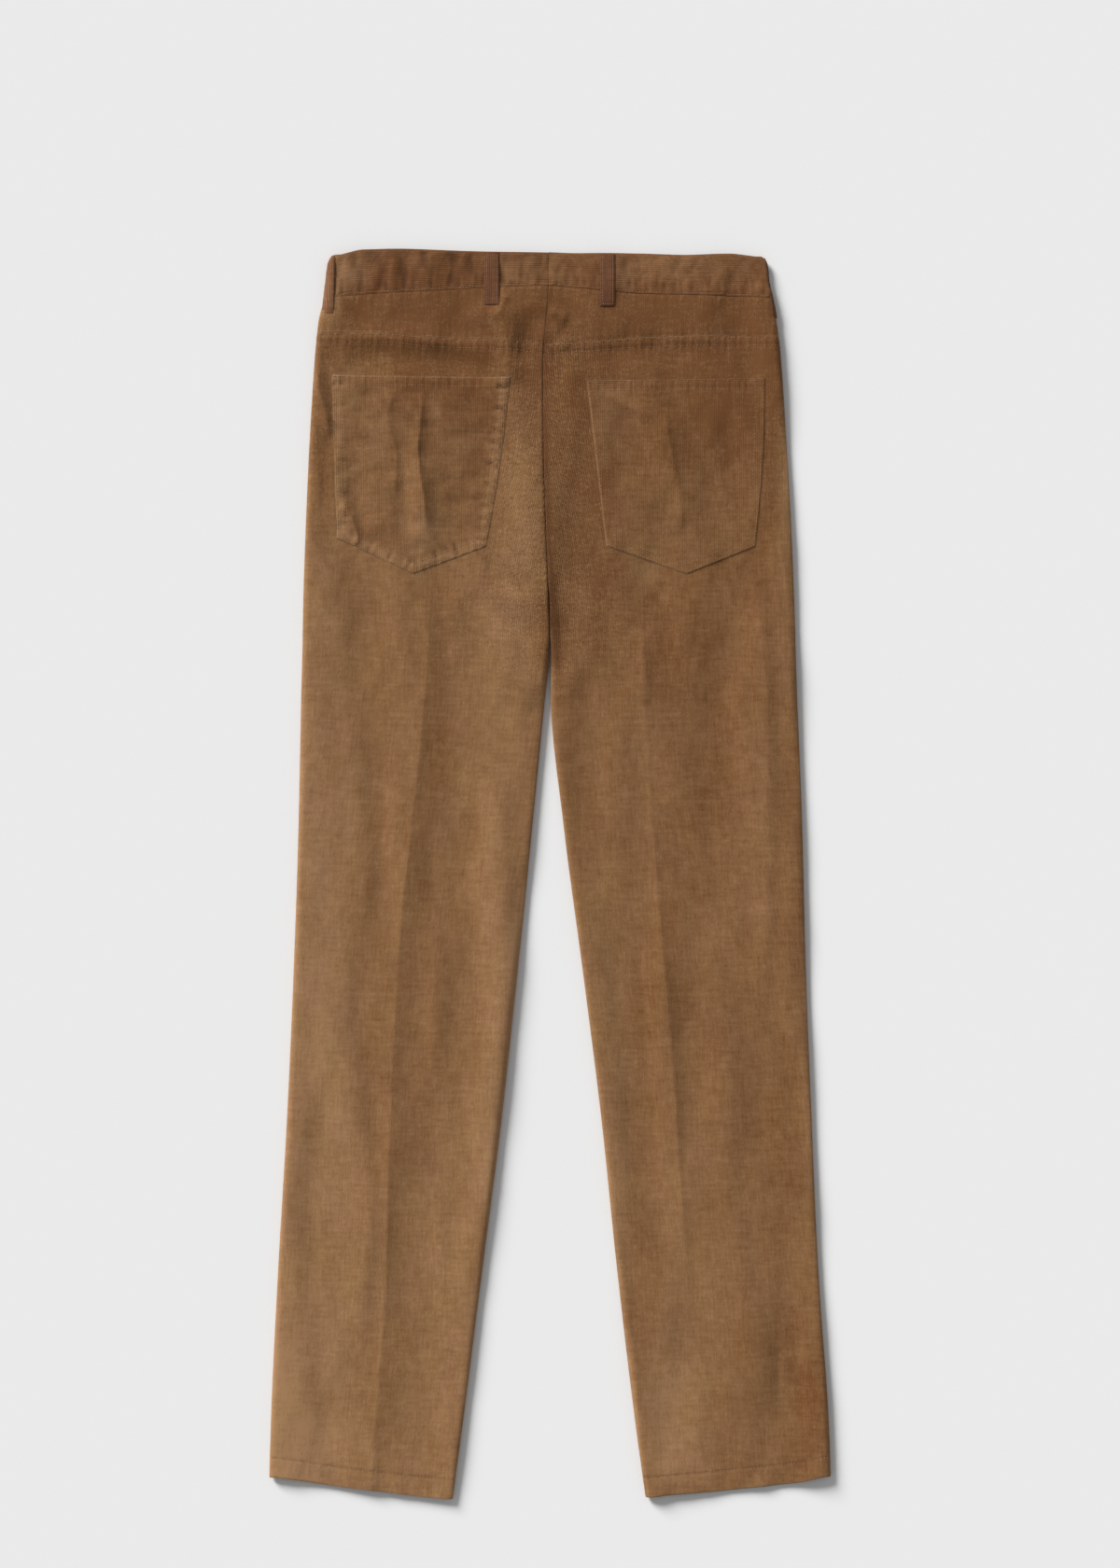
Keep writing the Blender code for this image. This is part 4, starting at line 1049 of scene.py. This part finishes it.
def waistband(side, material):
    """One half of the waistband, from the centre back round the side to the centre front."""
    sign, seed = SIGN[side], 41 + SIDES.index(side)
    back = 1 - spaced(0, BAND_LENGTH, ((BAND_LENGTH, BAND_STEP),))
    around = np.linspace(90, -90, BAND_ARC_STEPS)[1:-1]
    front = np.append(np.arange(0, 1, BAND_FRONT_STEP / BAND_LENGTH), 1.0)
    share = np.concatenate([back, 0 * around, front])[:, None]
    angle = np.radians(np.concatenate([90 + 0 * back, around, -90 + 0 * front]))[:, None]
    under, over = angle < 0, angle > 0
    across = np.arange(int(BAND_REACH / WALE_STEP) + 1)[None, :] * WALE_STEP

    side_top, centre_top = edges_x(side, 20.0)
    crease = (read(CREASES, side, 80.0) - side_top) / (centre_top - side_top)
    stop = np.where(under, share, stop_at(share, crease))
    top, low = (np.where(under, read(FRONT_LINES, f"{name}_{side}", stop),
                         read(BACK_LINES, f"{name}_{side}", stop)) for name in ("waist", "band"))
    beyond = np.ceil((across - low + top + BAND_EDGE[0]) / WALE_STEP).astype(int)
    walked = np.where(beyond <= 0, across, low - top - np.array(BAND_EDGE)[np.clip(beyond, 1, 4)])
    down = top + walked
    to_low = low - down
    side_x, centre_x = edges_x(side, down)
    width = np.abs(np.where(under, 0.0, centre_x) + sign * SEAM_GAP / 2 - side_x)
    skin, out = wrapped(side, down, angle, (width - ROLL) * share)
    x = skin[..., 0]
    skin[..., 2] += folds(x, down) * over
    along = np.abs(side_x - x)

    drawn = ease(to_low, 0.5, 2.5) * (1 - ease(to_low, 6, 19))
    crumple = swell(x, down, 16, BAND_CRUMPLE[side], (5, 22), seed + 6) * over
    centre_seam = (0.3 + 0.7 * ease(walked, 9, 15)) * (1 - under) * rounded(width - along, 0.12)
    lift = rounded(walked, 0.6) + rounded(to_low, 0.15) + groove(to_low - TWIN_ROWS[0], 0.12)
    lift += 0.30 * drawn * ripple(x, 8.2, seed) + ease(walked, 0, 5) * ease(to_low, 0, 5) * crumple
    lift += centre_seam
    pile = pressed(ribs(across, seed + 2, BAND_RIBS[side] * ease(to_low, 0.5, 2.0)), lift)
    # painted light along the roll at the side, and painted shade along the top edge, which the lamp
    # lights
    tone = tone_with_painted_light(x, down, side, EDGE_LIGHT * bell(along, EDGE_LIGHT_REACH) - 0.3 * bell(walked, 1.3))
    apart = 2 * BAND_LENGTH * under  # so that the pile under the front isn't that of the back
    grain = vectors(walked, sign * along + apart, 0.0)
    rows = np.arange(share.size)[:, None]
    thick = BAND + rounded(walked, 0.5)
    lay("band", side, Cloth(skin, out, thick, lift, pile, grain, tone, (rows, walked)), material)


# Pockets

def graded(span, edges, count):
    """Distances down spans of different lengths, closer together at both ends."""
    edges = np.array(edges)[:, None] * np.minimum(1, span / (2.5 * edges[-1]))[None, :]
    between = np.linspace(0, 1, count)[1:-1, None]
    between = edges[-1] + (span - 2 * edges[-1]) * between
    return np.concatenate([edges, between, span - edges[::-1]])


def pocket_edge(side):
    """The pocket's outline from its top at the side round to its top at the centre."""
    shape = POCKETS[side]
    v = np.linspace(0, 1, 6)[:, None]
    bow = SIGN[side] * np.sin(np.pi * v) * ((1.0, 0.0),)
    outer, inner = np.array(shape.top_outer), np.array(shape.top_inner)
    outer = outer + (np.array(shape.bottom_outer) - outer) * v + shape.outer_bow * bow
    inner = inner + (np.array(shape.bottom_inner) - inner) * v - shape.inner_bow * bow
    return np.concatenate([outer, [shape.point], inner[::-1]])


def pocket(side, material):
    """A pointed patch pocket with turned and doubly stitched edges."""
    inwards, seed = -SIGN[side], 51 + SIDES.index(side)
    edge = pocket_edge(side)
    brink = edge[:, 0] * inwards
    across = np.union1d(np.arange(brink[0], brink[-1], WALE_STEP), brink)
    top = np.interp(across, brink[[0, -1]], edge[[0, -1], 1])
    span = np.interp(across, brink, edge[:, 1]) - top
    down = top + graded(span, POCKET_EDGE_STEPS, POCKET_ROWS)
    x = across * inwards + 0 * down

    to_edge, along, _ = to_path(x, down, edge)
    to_top = down - top
    near = np.minimum(to_edge, to_top)
    drawn = 0.18 + 0.28 * ease(x, *sorted(edge[[0, -1], 0]))
    lift = sewn(to_edge, along, drawn, seed, POCKET_PUCKER, deep=0.18)
    lift += sewn(to_top, x, 0.16, seed + 4, deep=0.18)
    lift += LAP * (1 - ease(near, 9, 12)) + rounded(near, 0.5)
    lift += ease(near, 1, 6) * swell(down, x, 18, 0.010, (7, 30), seed + 6)
    pile = pressed(ribs(across, seed + 2, POCKET_RIBS), lift)
    skin = points_at(x, down, panel_height(x, down, side) + POCKET_GAP + POCKET_CLOTH)
    # painted light on the pocket's turned edges and along its rim
    worn = POCKET_EDGE_LIGHT[side] * (1 - ease(to_edge, 7, 12)) + EDGE_LIGHT * bell(near, 1.2)
    tone = tone_with_painted_light(x, down, side, POCKET_SHIFT[side] + worn)
    columns = np.arange(len(across))
    cloth = Cloth(skin, UP, POCKET_CLOTH, lift, pile, vectors(x, down, 0.0), tone, (columns, down),
                  POCKET_LEAN)
    lay("pocket", side, cloth, material)


# Belt loops

def slack(v, arch):
    """Height of a belt loop's arch, at a share of its length."""
    return arch * np.sin(np.pi * v) ** 0.5


def belt_loop(kind, side, place, skin, material, lines=BACK_LINES, share=0.0, width=LOOP_WIDTH):
    """A belt loop: a folded strip, sewn down each side and tacked at its ends.

    It starts below the waist at a share of the way from the side to the centre. skin gives the
    points of its lower face and the way outwards.
    """
    start = float(read(lines, f"waist_{side}", share)) + LOOP_INSET
    across = np.append(np.arange(0, width - 0.2, WALE_STEP), width)[None, :]
    v = spaced(start, place.low_end, ((place.low_end, LOOP_STEP_ALONG),), LOOP_EDGE_STEPS)[:, None]
    down = start + (place.low_end - start) * v
    to_edge, to_end = np.minimum(across, width - across), place.low_end - down
    lift = rounded(to_edge, 0.7) + groove(to_edge - LOOP_ROW, 0.22, 0.7)
    lift = lift + rounded(to_end - LOOP_TACK, 0.3) + rounded(to_end, 0.5)
    lift += 0.08 * ripple(down + 3 * np.sign(across - width / 2), 6.4, 61)
    pile = pressed(wales(across, 63), lift)
    lower, out = skin(across, down, v)
    tone = tone_with_painted_light(lower[..., 0], down, side)
    cloth = Cloth(lower + out * LOOP_THICK, out, LOOP_THICK, lift, pile, vectors(across, down, 0.0),
                  tone, (across, down))
    lay(kind, side, cloth, material)


def round_edge(inside, walked):
    """A place on the cloth at a side seam, walked outwards from `inside` of the rolled edge.

    It gives the distance on the flat from the roll, and the angle round the roll: 90 degrees
    where it starts on the back, and -90 where it ends on the front.
    """
    on_roll = np.arccos(np.clip(1 - inside / ROLL, 0, 1)) / (math.pi / 2)
    gone = (1 - on_roll) * ARC - np.maximum(inside - ROLL, 0) + walked
    beside = np.maximum(-gone, 0) + np.maximum(gone - 2 * ARC, 0)
    return beside, (1 - np.clip(gone / ARC, 0, 2)) * math.pi / 2


def belt_loops(side, material):
    """The belt loops of one side: on the back, over the side seam, and under the front."""
    back, over_side, front = BACK_LOOPS[side], SIDE_LOOPS[side], FRONT_LOOPS[side]

    def back_skin(across, down, v):
        x = back.x - LOOP_WIDTH / 2 + across + 0 * down
        rise = BAND_RISE * ease(back.low_end - down, LOOP_STEP[1], LOOP_STEP[0])
        lower = panel_height(x, down, side) + rise + LOOP_GAP + slack(v, LOOP_ARCH)
        return points_at(x, down, lower), UP

    def side_skin(across, down, v):
        top_x, low_x = over_side.x
        side_x, _ = edges_x(side, down)
        inside = np.maximum(np.abs(side_x) - np.abs(top_x + (low_x - top_x) * v), 0)
        beside, angle = round_edge(inside, across)
        return wrapped(side, down, angle, beside, LOOP_GAP + slack(v, SIDE_LOOP_ARCH))

    def front_skin(across, down, v):
        return points_at(front.x - LOOP_WIDTH / 2 + across, down, LOOP_THICK), -UP

    share = 1 - abs(back.x / edges_x(side, 0.0)[0])
    belt_loop("loop_back", side, back, back_skin, material, share=share)
    belt_loop("loop_side", side, over_side, side_skin, material, width=SIDE_LOOP_WIDTH)
    belt_loop("loop_front", side, front, front_skin, material, lines=FRONT_LINES, share=0.5)


# Stitching

def seam_path(side, name, near, offset, front=False, short=ROW_SHORT, centre=None, step=4.0):
    """A path along a line across one side, offset below it, that ends short of the inner edge.

    near is about how far down it is, and centre takes the inner edge's place where it is given.
    """
    side_x, inner_x = edges_x(side, near)
    inner_x = inner_x if centre is None else centre
    x = np.linspace(side_x - SIGN[side] * ROW_START, inner_x + SIGN[side] * short,
                    int(abs(inner_x - side_x) / step))
    lines = FRONT_LINES if front else BACK_LINES
    down = read(lines, f"{name}_{side}", 0.5) + 0 * x
    for _ in range(4):
        side_x, width, inner_roll, crease = spans(side, down, front)
        flat = width - ROLL - inner_roll
        share = np.clip((np.abs(x - side_x) - ROLL) / flat, 0, 1)
        stop = share if front else stop_at(share, crease / flat)
        down = read(lines, f"{name}_{side}", stop) + offset
    return np.stack([x, down], axis=1)


def inset(path, distance):
    """A path moved to its left, with mitred corners. To the left is as seen with down upwards."""
    path = np.array(path, float)
    legs = np.diff(path, axis=0)
    legs /= np.hypot(*legs.T)[:, None]
    normals = np.stack([-legs[:, 1], legs[:, 0]], axis=1)
    before = np.concatenate([normals[:1], normals])
    after = np.concatenate([normals, normals[-1:]])
    share = 1 + np.einsum("ij,ij->i", before, after)
    return path + distance * (before + after) / share[:, None]


def pocket_rows(side):
    """Paths of a pocket's rows of stitches: round its sides and point, and along its top."""
    edge = pocket_edge(side)
    outer, inner = edge[0], edge[-1]
    inwards = (inner - outer) / np.hypot(*(inner - outer))
    around = [inset(edge, SIGN[side] * row) for row in TWIN_ROWS]
    return around + [[outer + inwards * 2 + (0, row), inner - inwards * 2 + (0, row)]
                     for row in TWIN_ROWS]


def tack(place, wide, high, lines):
    """A path that goes to and fro over a small patch, as a bar tack does."""
    x, down = place
    steps = np.linspace(-0.5, 0.5, lines)
    return [(x + step * wide, down + high * (0.5 if k % 2 else -0.5)) for k, step in enumerate(steps)]


def front_rows(side):
    """Paths of the rows on the front: the slanted pocket's opening, and the fly on one side."""
    sign = SIGN[side]
    paths = [[(sign * (x - row), down) for x, down in FRONT_POCKET] for row in TWIN_ROWS]
    if side == FLY_SIDE:
        for row in FLY_ROWS:
            turn = np.radians(np.linspace(0, 80, 9))
            bend = [(sign * (row - FLY_BEND + FLY_BEND * math.cos(angle)),
                     FLY_STRAIGHT + FLY_BEND * 1.2 * math.sin(angle)) for angle in turn]
            paths.append([(sign * row, 60.0), *bend])
    return paths


def sewn_rows(side):
    """The rows of stitches of one side: their group, the piece they lie on, their path and pitch."""
    for row in TWIN_ROWS:
        yield "yokes", "back", seam_path(side, "yoke", 80.0, SEAM_GAP + row), STITCH
    yield "waist", "band", seam_path(side, "band", 42.0, -TWIN_ROWS[0]), STITCH
    path = seam_path(side, "band", 52.0, -TWIN_ROWS[0], front=True, centre=0.0)
    yield "front", "band", path, STITCH
    for path in pocket_rows(side):
        yield "pockets", "pocket", path, STITCH
    corners = (POCKETS[side].top_outer, -SIGN[side]), (POCKETS[side].top_inner, SIGN[side])
    for (x, down), inwards in corners:
        path = tack((x + inwards * TACK_IN, down + TACK_DOWN), *CORNER_TACK)
        yield "pockets", "pocket", path, TACK_STITCH
    yield "hems", "back", seam_path(side, "hem", 1120.0, -HEM_ROW, short=HEM_SHORT), STITCH
    path = seam_path(side, "hem", 1120.0, -HEM_ROW, front=True, short=HEM_SHORT)
    yield "front", "front", path, STITCH
    for path in front_rows(side):
        yield "front", "front", path, STITCH
    middle, low_end = BACK_LOOPS[side]
    half = LOOP_WIDTH / 2
    for x in (middle - half + LOOP_ROW, middle + half - LOOP_ROW):
        yield "loops", "loop_back", [(x, LOOP_TOP + 3.0), (x, low_end - 3.2)], LOOP_STITCH
    for down in (low_end - LOOP_TACK, LOOP_TOP + LOOP_TACK):
        path = [(middle - half + 1, down), (middle + half - 1, down)]
        yield "loops", "loop_back", path, LOOP_TACK_STITCH


def stitch_row(piece, path, below, stitch):
    """Points of each stitch along a path of (x, down) points on a piece, as rings by stitches."""
    path = np.array(path, float)
    walked = np.concatenate([[0], np.cumsum(np.hypot(*np.diff(path, axis=0).T))])
    count = max(1, round(walked[-1] / stitch))
    pitch = walked[-1] / count
    begins = (np.arange(count) + 0.5 - STITCH_SHOWN / 2) * pitch
    at = begins[:, None] + np.array(STITCH_RINGS)[None, :] * STITCH_SHOWN * pitch
    x, down = (np.interp(at, walked, path[:, axis]) for axis in (0, 1))
    y = LENGTH / 2 - down
    height = np.zeros(at.shape)
    way = 1.0 if below else -1.0
    for place in np.ndindex(at.shape):
        start = (x[place] * MM, y[place] * MM, -way * 0.1)
        hit, point, _, _ = piece.ray_cast(start, (0, 0, way))
        height[place] = point[2] / MM if hit else np.nan
    landed = np.isfinite(height).all(axis=1)
    height = height[landed]
    level = height.min(axis=1) if below else height.max(axis=1)
    height = (height + level[:, None]) / 2 + way * np.array(STITCH_SUNK)
    return vectors(x[landed], y[landed], height)


def stitches(name, rows, material, seed):
    """One object with all the stitches of the given rows, each a thread that dips at both ends."""
    points = np.concatenate(rows)
    along = points[:, -1] - points[:, 0]
    along /= np.linalg.norm(along, axis=1)[:, None]
    beside = np.cross(along, UP)
    above = np.cross(beside, along)
    turns = np.arange(THREAD_SIDES) * math.tau / THREAD_SIDES
    radius = THREAD * np.array(STITCH_WIDTHS)
    ring = (beside[:, None, None] * np.cos(turns)[None, None, :, None]
            + above[:, None, None] * np.sin(turns)[None, None, :, None])
    skin = points[:, :, None] + ring * radius[None, :, None, None]
    count, rings, sides, _ = skin.shape
    number = np.arange(count * rings * sides).reshape(count, rings, sides)
    here, there = number[:, :-1], number[:, 1:]
    quads = np.stack([here, np.roll(here, -1, 2), np.roll(there, -1, 2), there], axis=-1)
    caps = [number[:, end][:, (0, corner, corner + 1)][:, order]
            for end, order in ((0, (0, 2, 1)), (-1, (0, 1, 2))) for corner in range(1, sides - 1)]
    rng = np.random.default_rng(seed)
    tone = np.repeat(rng.uniform(0, 1, count), rings * sides)
    made = build(name, skin.reshape(-1, 3), quads.reshape(-1, 4), np.concatenate(caps),
                 {"tone": tone}, material)


def sew(material):
    """All the rows of stitches that show."""
    rows = {group: [] for group in STITCH_GROUPS}
    for side in SIDES:
        for group, kind, path, stitch in sewn_rows(side):
            piece = bpy.data.objects[f"cord_{kind}_{side}"]
            rows[group].append(stitch_row(piece, path, group == "front", stitch))
    for seed, (group, made) in enumerate(rows.items()):
        stitches(f"stitches_{group}", made, material, 71 + seed)


# Materials

def node(tree, kind, settings=None, inputs=None):
    """A new node. An input's value is a socket to link, or a constant."""
    made = tree.nodes.new(kind)
    for name, value in (settings or {}).items():
        setattr(made, name, value)
    for name, value in (inputs or {}).items():
        if isinstance(value, bpy.types.NodeSocket):
            tree.links.new(value, made.inputs[name])
        else:
            made.inputs[name].default_value = value
    return made


def math_node(tree, operation, *values, clamp=False):
    settings = {"operation": operation, "use_clamp": clamp}
    return node(tree, "ShaderNodeMath", settings, dict(enumerate(values))).outputs[0]


def noise(tree, place, stretch, detail=2.0, roughness=0.5):
    """Noise from -0.5 to 0.5 whose grains are 1/stretch metres long in each direction."""
    scaled = node(tree, "ShaderNodeVectorMath", {"operation": "MULTIPLY"}, {0: place, 1: stretch})
    inputs = {"Vector": scaled.outputs[0], "Scale": 1.0, "Detail": detail, "Roughness": roughness}
    made = node(tree, "ShaderNodeTexNoise", None, inputs)
    return math_node(tree, "SUBTRACT", made.outputs["Fac"], 0.5)


def attribute(tree, name, output="Fac"):
    return node(tree, "ShaderNodeAttribute", {"attribute_name": name}).outputs[output]


def summed(tree, start, *terms):
    """start plus each (value, weight)."""
    for value, weight in terms:
        start = math_node(tree, "MULTIPLY_ADD", value, weight, start)
    return start


def mixed(tree, factor, first, second, blend="MIX"):
    """A colour between two; on this node, sockets 6 and 7 take colours, and 2 gives one."""
    settings = {"data_type": "RGBA", "blend_type": blend}
    made = node(tree, "ShaderNodeMix", settings, {"Factor": factor, 6: first, 7: second})
    return made.outputs[2]


def coloured(tree, tone, colours):
    """Colour by tone. colours are (tone, linear colour) from dark to light."""
    made = node(tree, "ShaderNodeValToRGB", None, {"Fac": tone})
    elements = made.color_ramp.elements
    for element, (at, colour) in zip(elements, (colours[0], colours[-1])):
        element.position, element.color = at, (*colour, 1)
    for at, colour in colours[1:-1]:
        elements.new(at).color = (*colour, 1)
    return made.outputs["Color"]


def new_material(name):
    """A new material, its node tree, its shader, and the place on the object."""
    material = bpy.data.materials.new(name)
    material.use_nodes = True
    tree = material.node_tree
    place = node(tree, "ShaderNodeTexCoord").outputs["Object"]
    return material, tree, tree.nodes["Principled BSDF"], place


def dress(tree, shader, colour, rough, relief, strength, distance):
    """Links colour and roughness to the shader, and relief as bump."""
    inputs = {"Height": relief, "Strength": strength, "Distance": distance}
    bump = node(tree, "ShaderNodeBump", None, inputs).outputs["Normal"]
    for name, socket in (("Base Color", colour), ("Roughness", rough), ("Normal", bump)):
        tree.links.new(socket, shader.inputs[name])


def brushed(tree, grain, degrees):
    """Noise in short strokes that lean off the ribs."""
    turned = node(tree, "ShaderNodeVectorRotate", {"rotation_type": "Z_AXIS"},
                  {"Vector": grain, "Angle": math.radians(degrees)})
    return noise(tree, turned.outputs[0], (1250, 300, 1), 2, 0.6)


def corduroy(name, colours, groove_shade, sheen_tint):
    """Ribbed cloth with a brushed pile."""
    material, tree, shader, place = new_material(name)
    grain = attribute(tree, "grain", "Vector")
    blotches = noise(tree, place, (9, 7, 9), 3, 0.55)
    clouds = noise(tree, place, (34, 22, 34), 3, 0.6)
    mottle = noise(tree, grain, (120, 95, 1), 3, 0.6)
    streaks = noise(tree, grain, (460, 45, 1), 2, 0.6)
    tufts = noise(tree, grain, (620, 260, 1), 3, 0.65)
    fibres = noise(tree, grain, (3400, 1500, 1), 2, 0.6)
    wefts = noise(tree, grain, (50, 300, 1), 2, 0.6)
    choice = summed(tree, 0.5, (noise(tree, place, (60, 50, 60)), 8.0))
    choice = math_node(tree, "MULTIPLY", choice, 1.0, clamp=True)
    strokes = node(tree, "ShaderNodeMix", {"data_type": "FLOAT"},
                   {"Factor": choice, 2: brushed(tree, grain, 38), 3: brushed(tree, grain, -34)})
    strokes = strokes.outputs[0]
    leaning = math_node(tree, "MULTIPLY", strokes, attribute(tree, "lean"))
    tone = summed(tree, attribute(tree, "tone"), (blotches, 0.36), (clouds, 0.45), (mottle, 0.5),
                 (strokes, 0.5), (streaks, 0.52), (wefts, 0.48), (tufts, 0.5), (fibres, 0.35),
                 (leaning, 2.1))

    hue = noise(tree, place, (26, 18, 26), 4, 0.65)
    hue = math_node(tree, "MULTIPLY_ADD", hue, 3.0, 0.5, clamp=True)
    dye = mixed(tree, hue, REDDER, GREENER)
    tinted = mixed(tree, 1.0, coloured(tree, tone, colours), dye, "MULTIPLY")
    # Painted shade between the ribs: where the pile attribute is low, the colour is made darker and
    # warmer
    deep = [groove_shade * part for part in GROOVE_SHADE_TINT]
    painted_groove_shade = mixed(tree, attribute(tree, "pile"), (*deep, 1), (1, 1, 1, 1))
    rough = summed(tree, 0.88, (tufts, 0.14), (streaks, 0.08))
    relief = summed(tree, 0.0, (fibres, 0.6), (tufts, 1.2), (strokes, 0.8), (leaning, 1.7))
    dress(tree, shader, mixed(tree, 1.0, tinted, painted_groove_shade, "MULTIPLY"), rough, relief, 0.5, 0.00025)
    shader.inputs["Specular IOR Level"].default_value = 0.25
    shader.inputs["Sheen Weight"].default_value = 0.24
    shader.inputs["Sheen Roughness"].default_value = 0.45
    shader.inputs["Sheen Tint"].default_value = (*sheen_tint, 1)
    return material


def thread_material():
    """Twisted polyester thread, in a tone a little lighter than the cloth."""
    material, tree, shader, place = new_material("thread")
    plies = node(tree, "ShaderNodeTexWave", {"bands_direction": "DIAGONAL"},
                 {"Vector": place, "Scale": 900.0, "Distortion": 1.5}).outputs["Fac"]
    fuzz = noise(tree, place, (1500, 1500, 1500))
    tone = summed(tree, attribute(tree, "tone"), (fuzz, 0.5), (plies, 0.3))
    rough = summed(tree, 0.62, (fuzz, 0.3))
    dress(tree, shader, coloured(tree, tone, THREAD_COLOURS), rough, plies, 0.4, 0.0001)
    shader.inputs["Sheen Weight"].default_value = 0.15
    return material


def horn_material():
    """Dark brown button horn: streaky, and polished with fine scratches."""
    material, tree, shader, place = new_material("horn")
    streaks = noise(tree, place, (900, 160, 400), 4, 0.6)
    specks = noise(tree, place, (3000, 3000, 3000), 2, 0.6)
    tone = summed(tree, 0.5, (streaks, 1.6), (specks, 0.3))
    rough = summed(tree, 0.34, (specks, 0.2), (streaks, 0.15))
    dress(tree, shader, coloured(tree, tone, HORN_COLOURS), rough, specks, 0.15, 0.0001)
    return material


# Floor, light and camera

def stage():
    """A plain pale floor."""
    material = bpy.data.materials.new("floor")
    material.use_nodes = True
    shader = material.node_tree.nodes["Principled BSDF"]
    shader.inputs["Base Color"].default_value = (*FLOOR_COLOUR, 1)
    shader.inputs["Roughness"].default_value = 0.95
    shader.inputs["Specular IOR Level"].default_value = 0.0
    mesh = bpy.data.meshes.new("floor")
    corners = [(x * FLOOR_HALF, y * FLOOR_HALF, 0) for x, y in ((-1, -1), (1, -1), (1, 1), (-1, 1))]
    mesh.from_pydata(corners, [], [(0, 1, 2, 3)])
    mesh.materials.append(material)
    floor = link("floor", mesh)
    floor.location.z = FLOOR_BELOW


def lights():
    """A broad lamp from the upper left, and an even pale surround."""
    world = bpy.data.worlds.new("studio")
    bpy.context.scene.world = world
    world.use_nodes = True
    background = world.node_tree.nodes["Background"]
    background.inputs["Color"].default_value = (1, 1, 1, 1)
    background.inputs["Strength"].default_value = WORLD_STRENGTH
    lamp = bpy.data.lights.new("lamp", "SUN")
    lamp.energy, lamp.angle, lamp.color = SUN_STRENGTH, math.radians(SUN_WIDTH), (1, 1, 1)
    sun = link("lamp", lamp)
    sun.rotation_euler = (0, math.radians(90 - SUN_HEIGHT), math.radians(SUN_FROM))


def camera():
    """The camera straight above the trousers, with the waist at the top."""
    lens = bpy.data.cameras.new("camera")
    lens.lens, lens.sensor_width, lens.sensor_fit = 80.0, 36.0, "AUTO"
    lens.clip_start, lens.clip_end = 0.1, 20.0
    made = link("camera", lens)
    made.location = CAMERA_PLACE
    scene = bpy.context.scene
    scene.camera = made
    scene.view_settings.view_transform, scene.view_settings.look = "Standard", "None"


def main():
    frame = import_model()
    camera()
    stage()
    lights()
    cord = corduroy("corduroy", CORD_COLOURS, CORD_GROOVE_SHADE, CORD_SHEEN)
    band = corduroy("corduroy_band", BAND_COLOURS, BAND_GROOVE_SHADE, CORD_SHEEN)
    loop = corduroy("corduroy_loop", LOOP_COLOURS, BAND_GROOVE_SHADE, LOOP_SHEEN)
    for side in SIDES:
        for kind in PANELS:
            panel_cloth(kind, side, cord)
        pocket(side, cord)
        waistband(side, band)
        belt_loops(side, loop)
    bpy.context.view_layer.update()
    sew(thread_material())
    horn = horn_material()
    for slot in frame["nodes"]["waist_button"].material_slots:
        slot.material = horn


main()
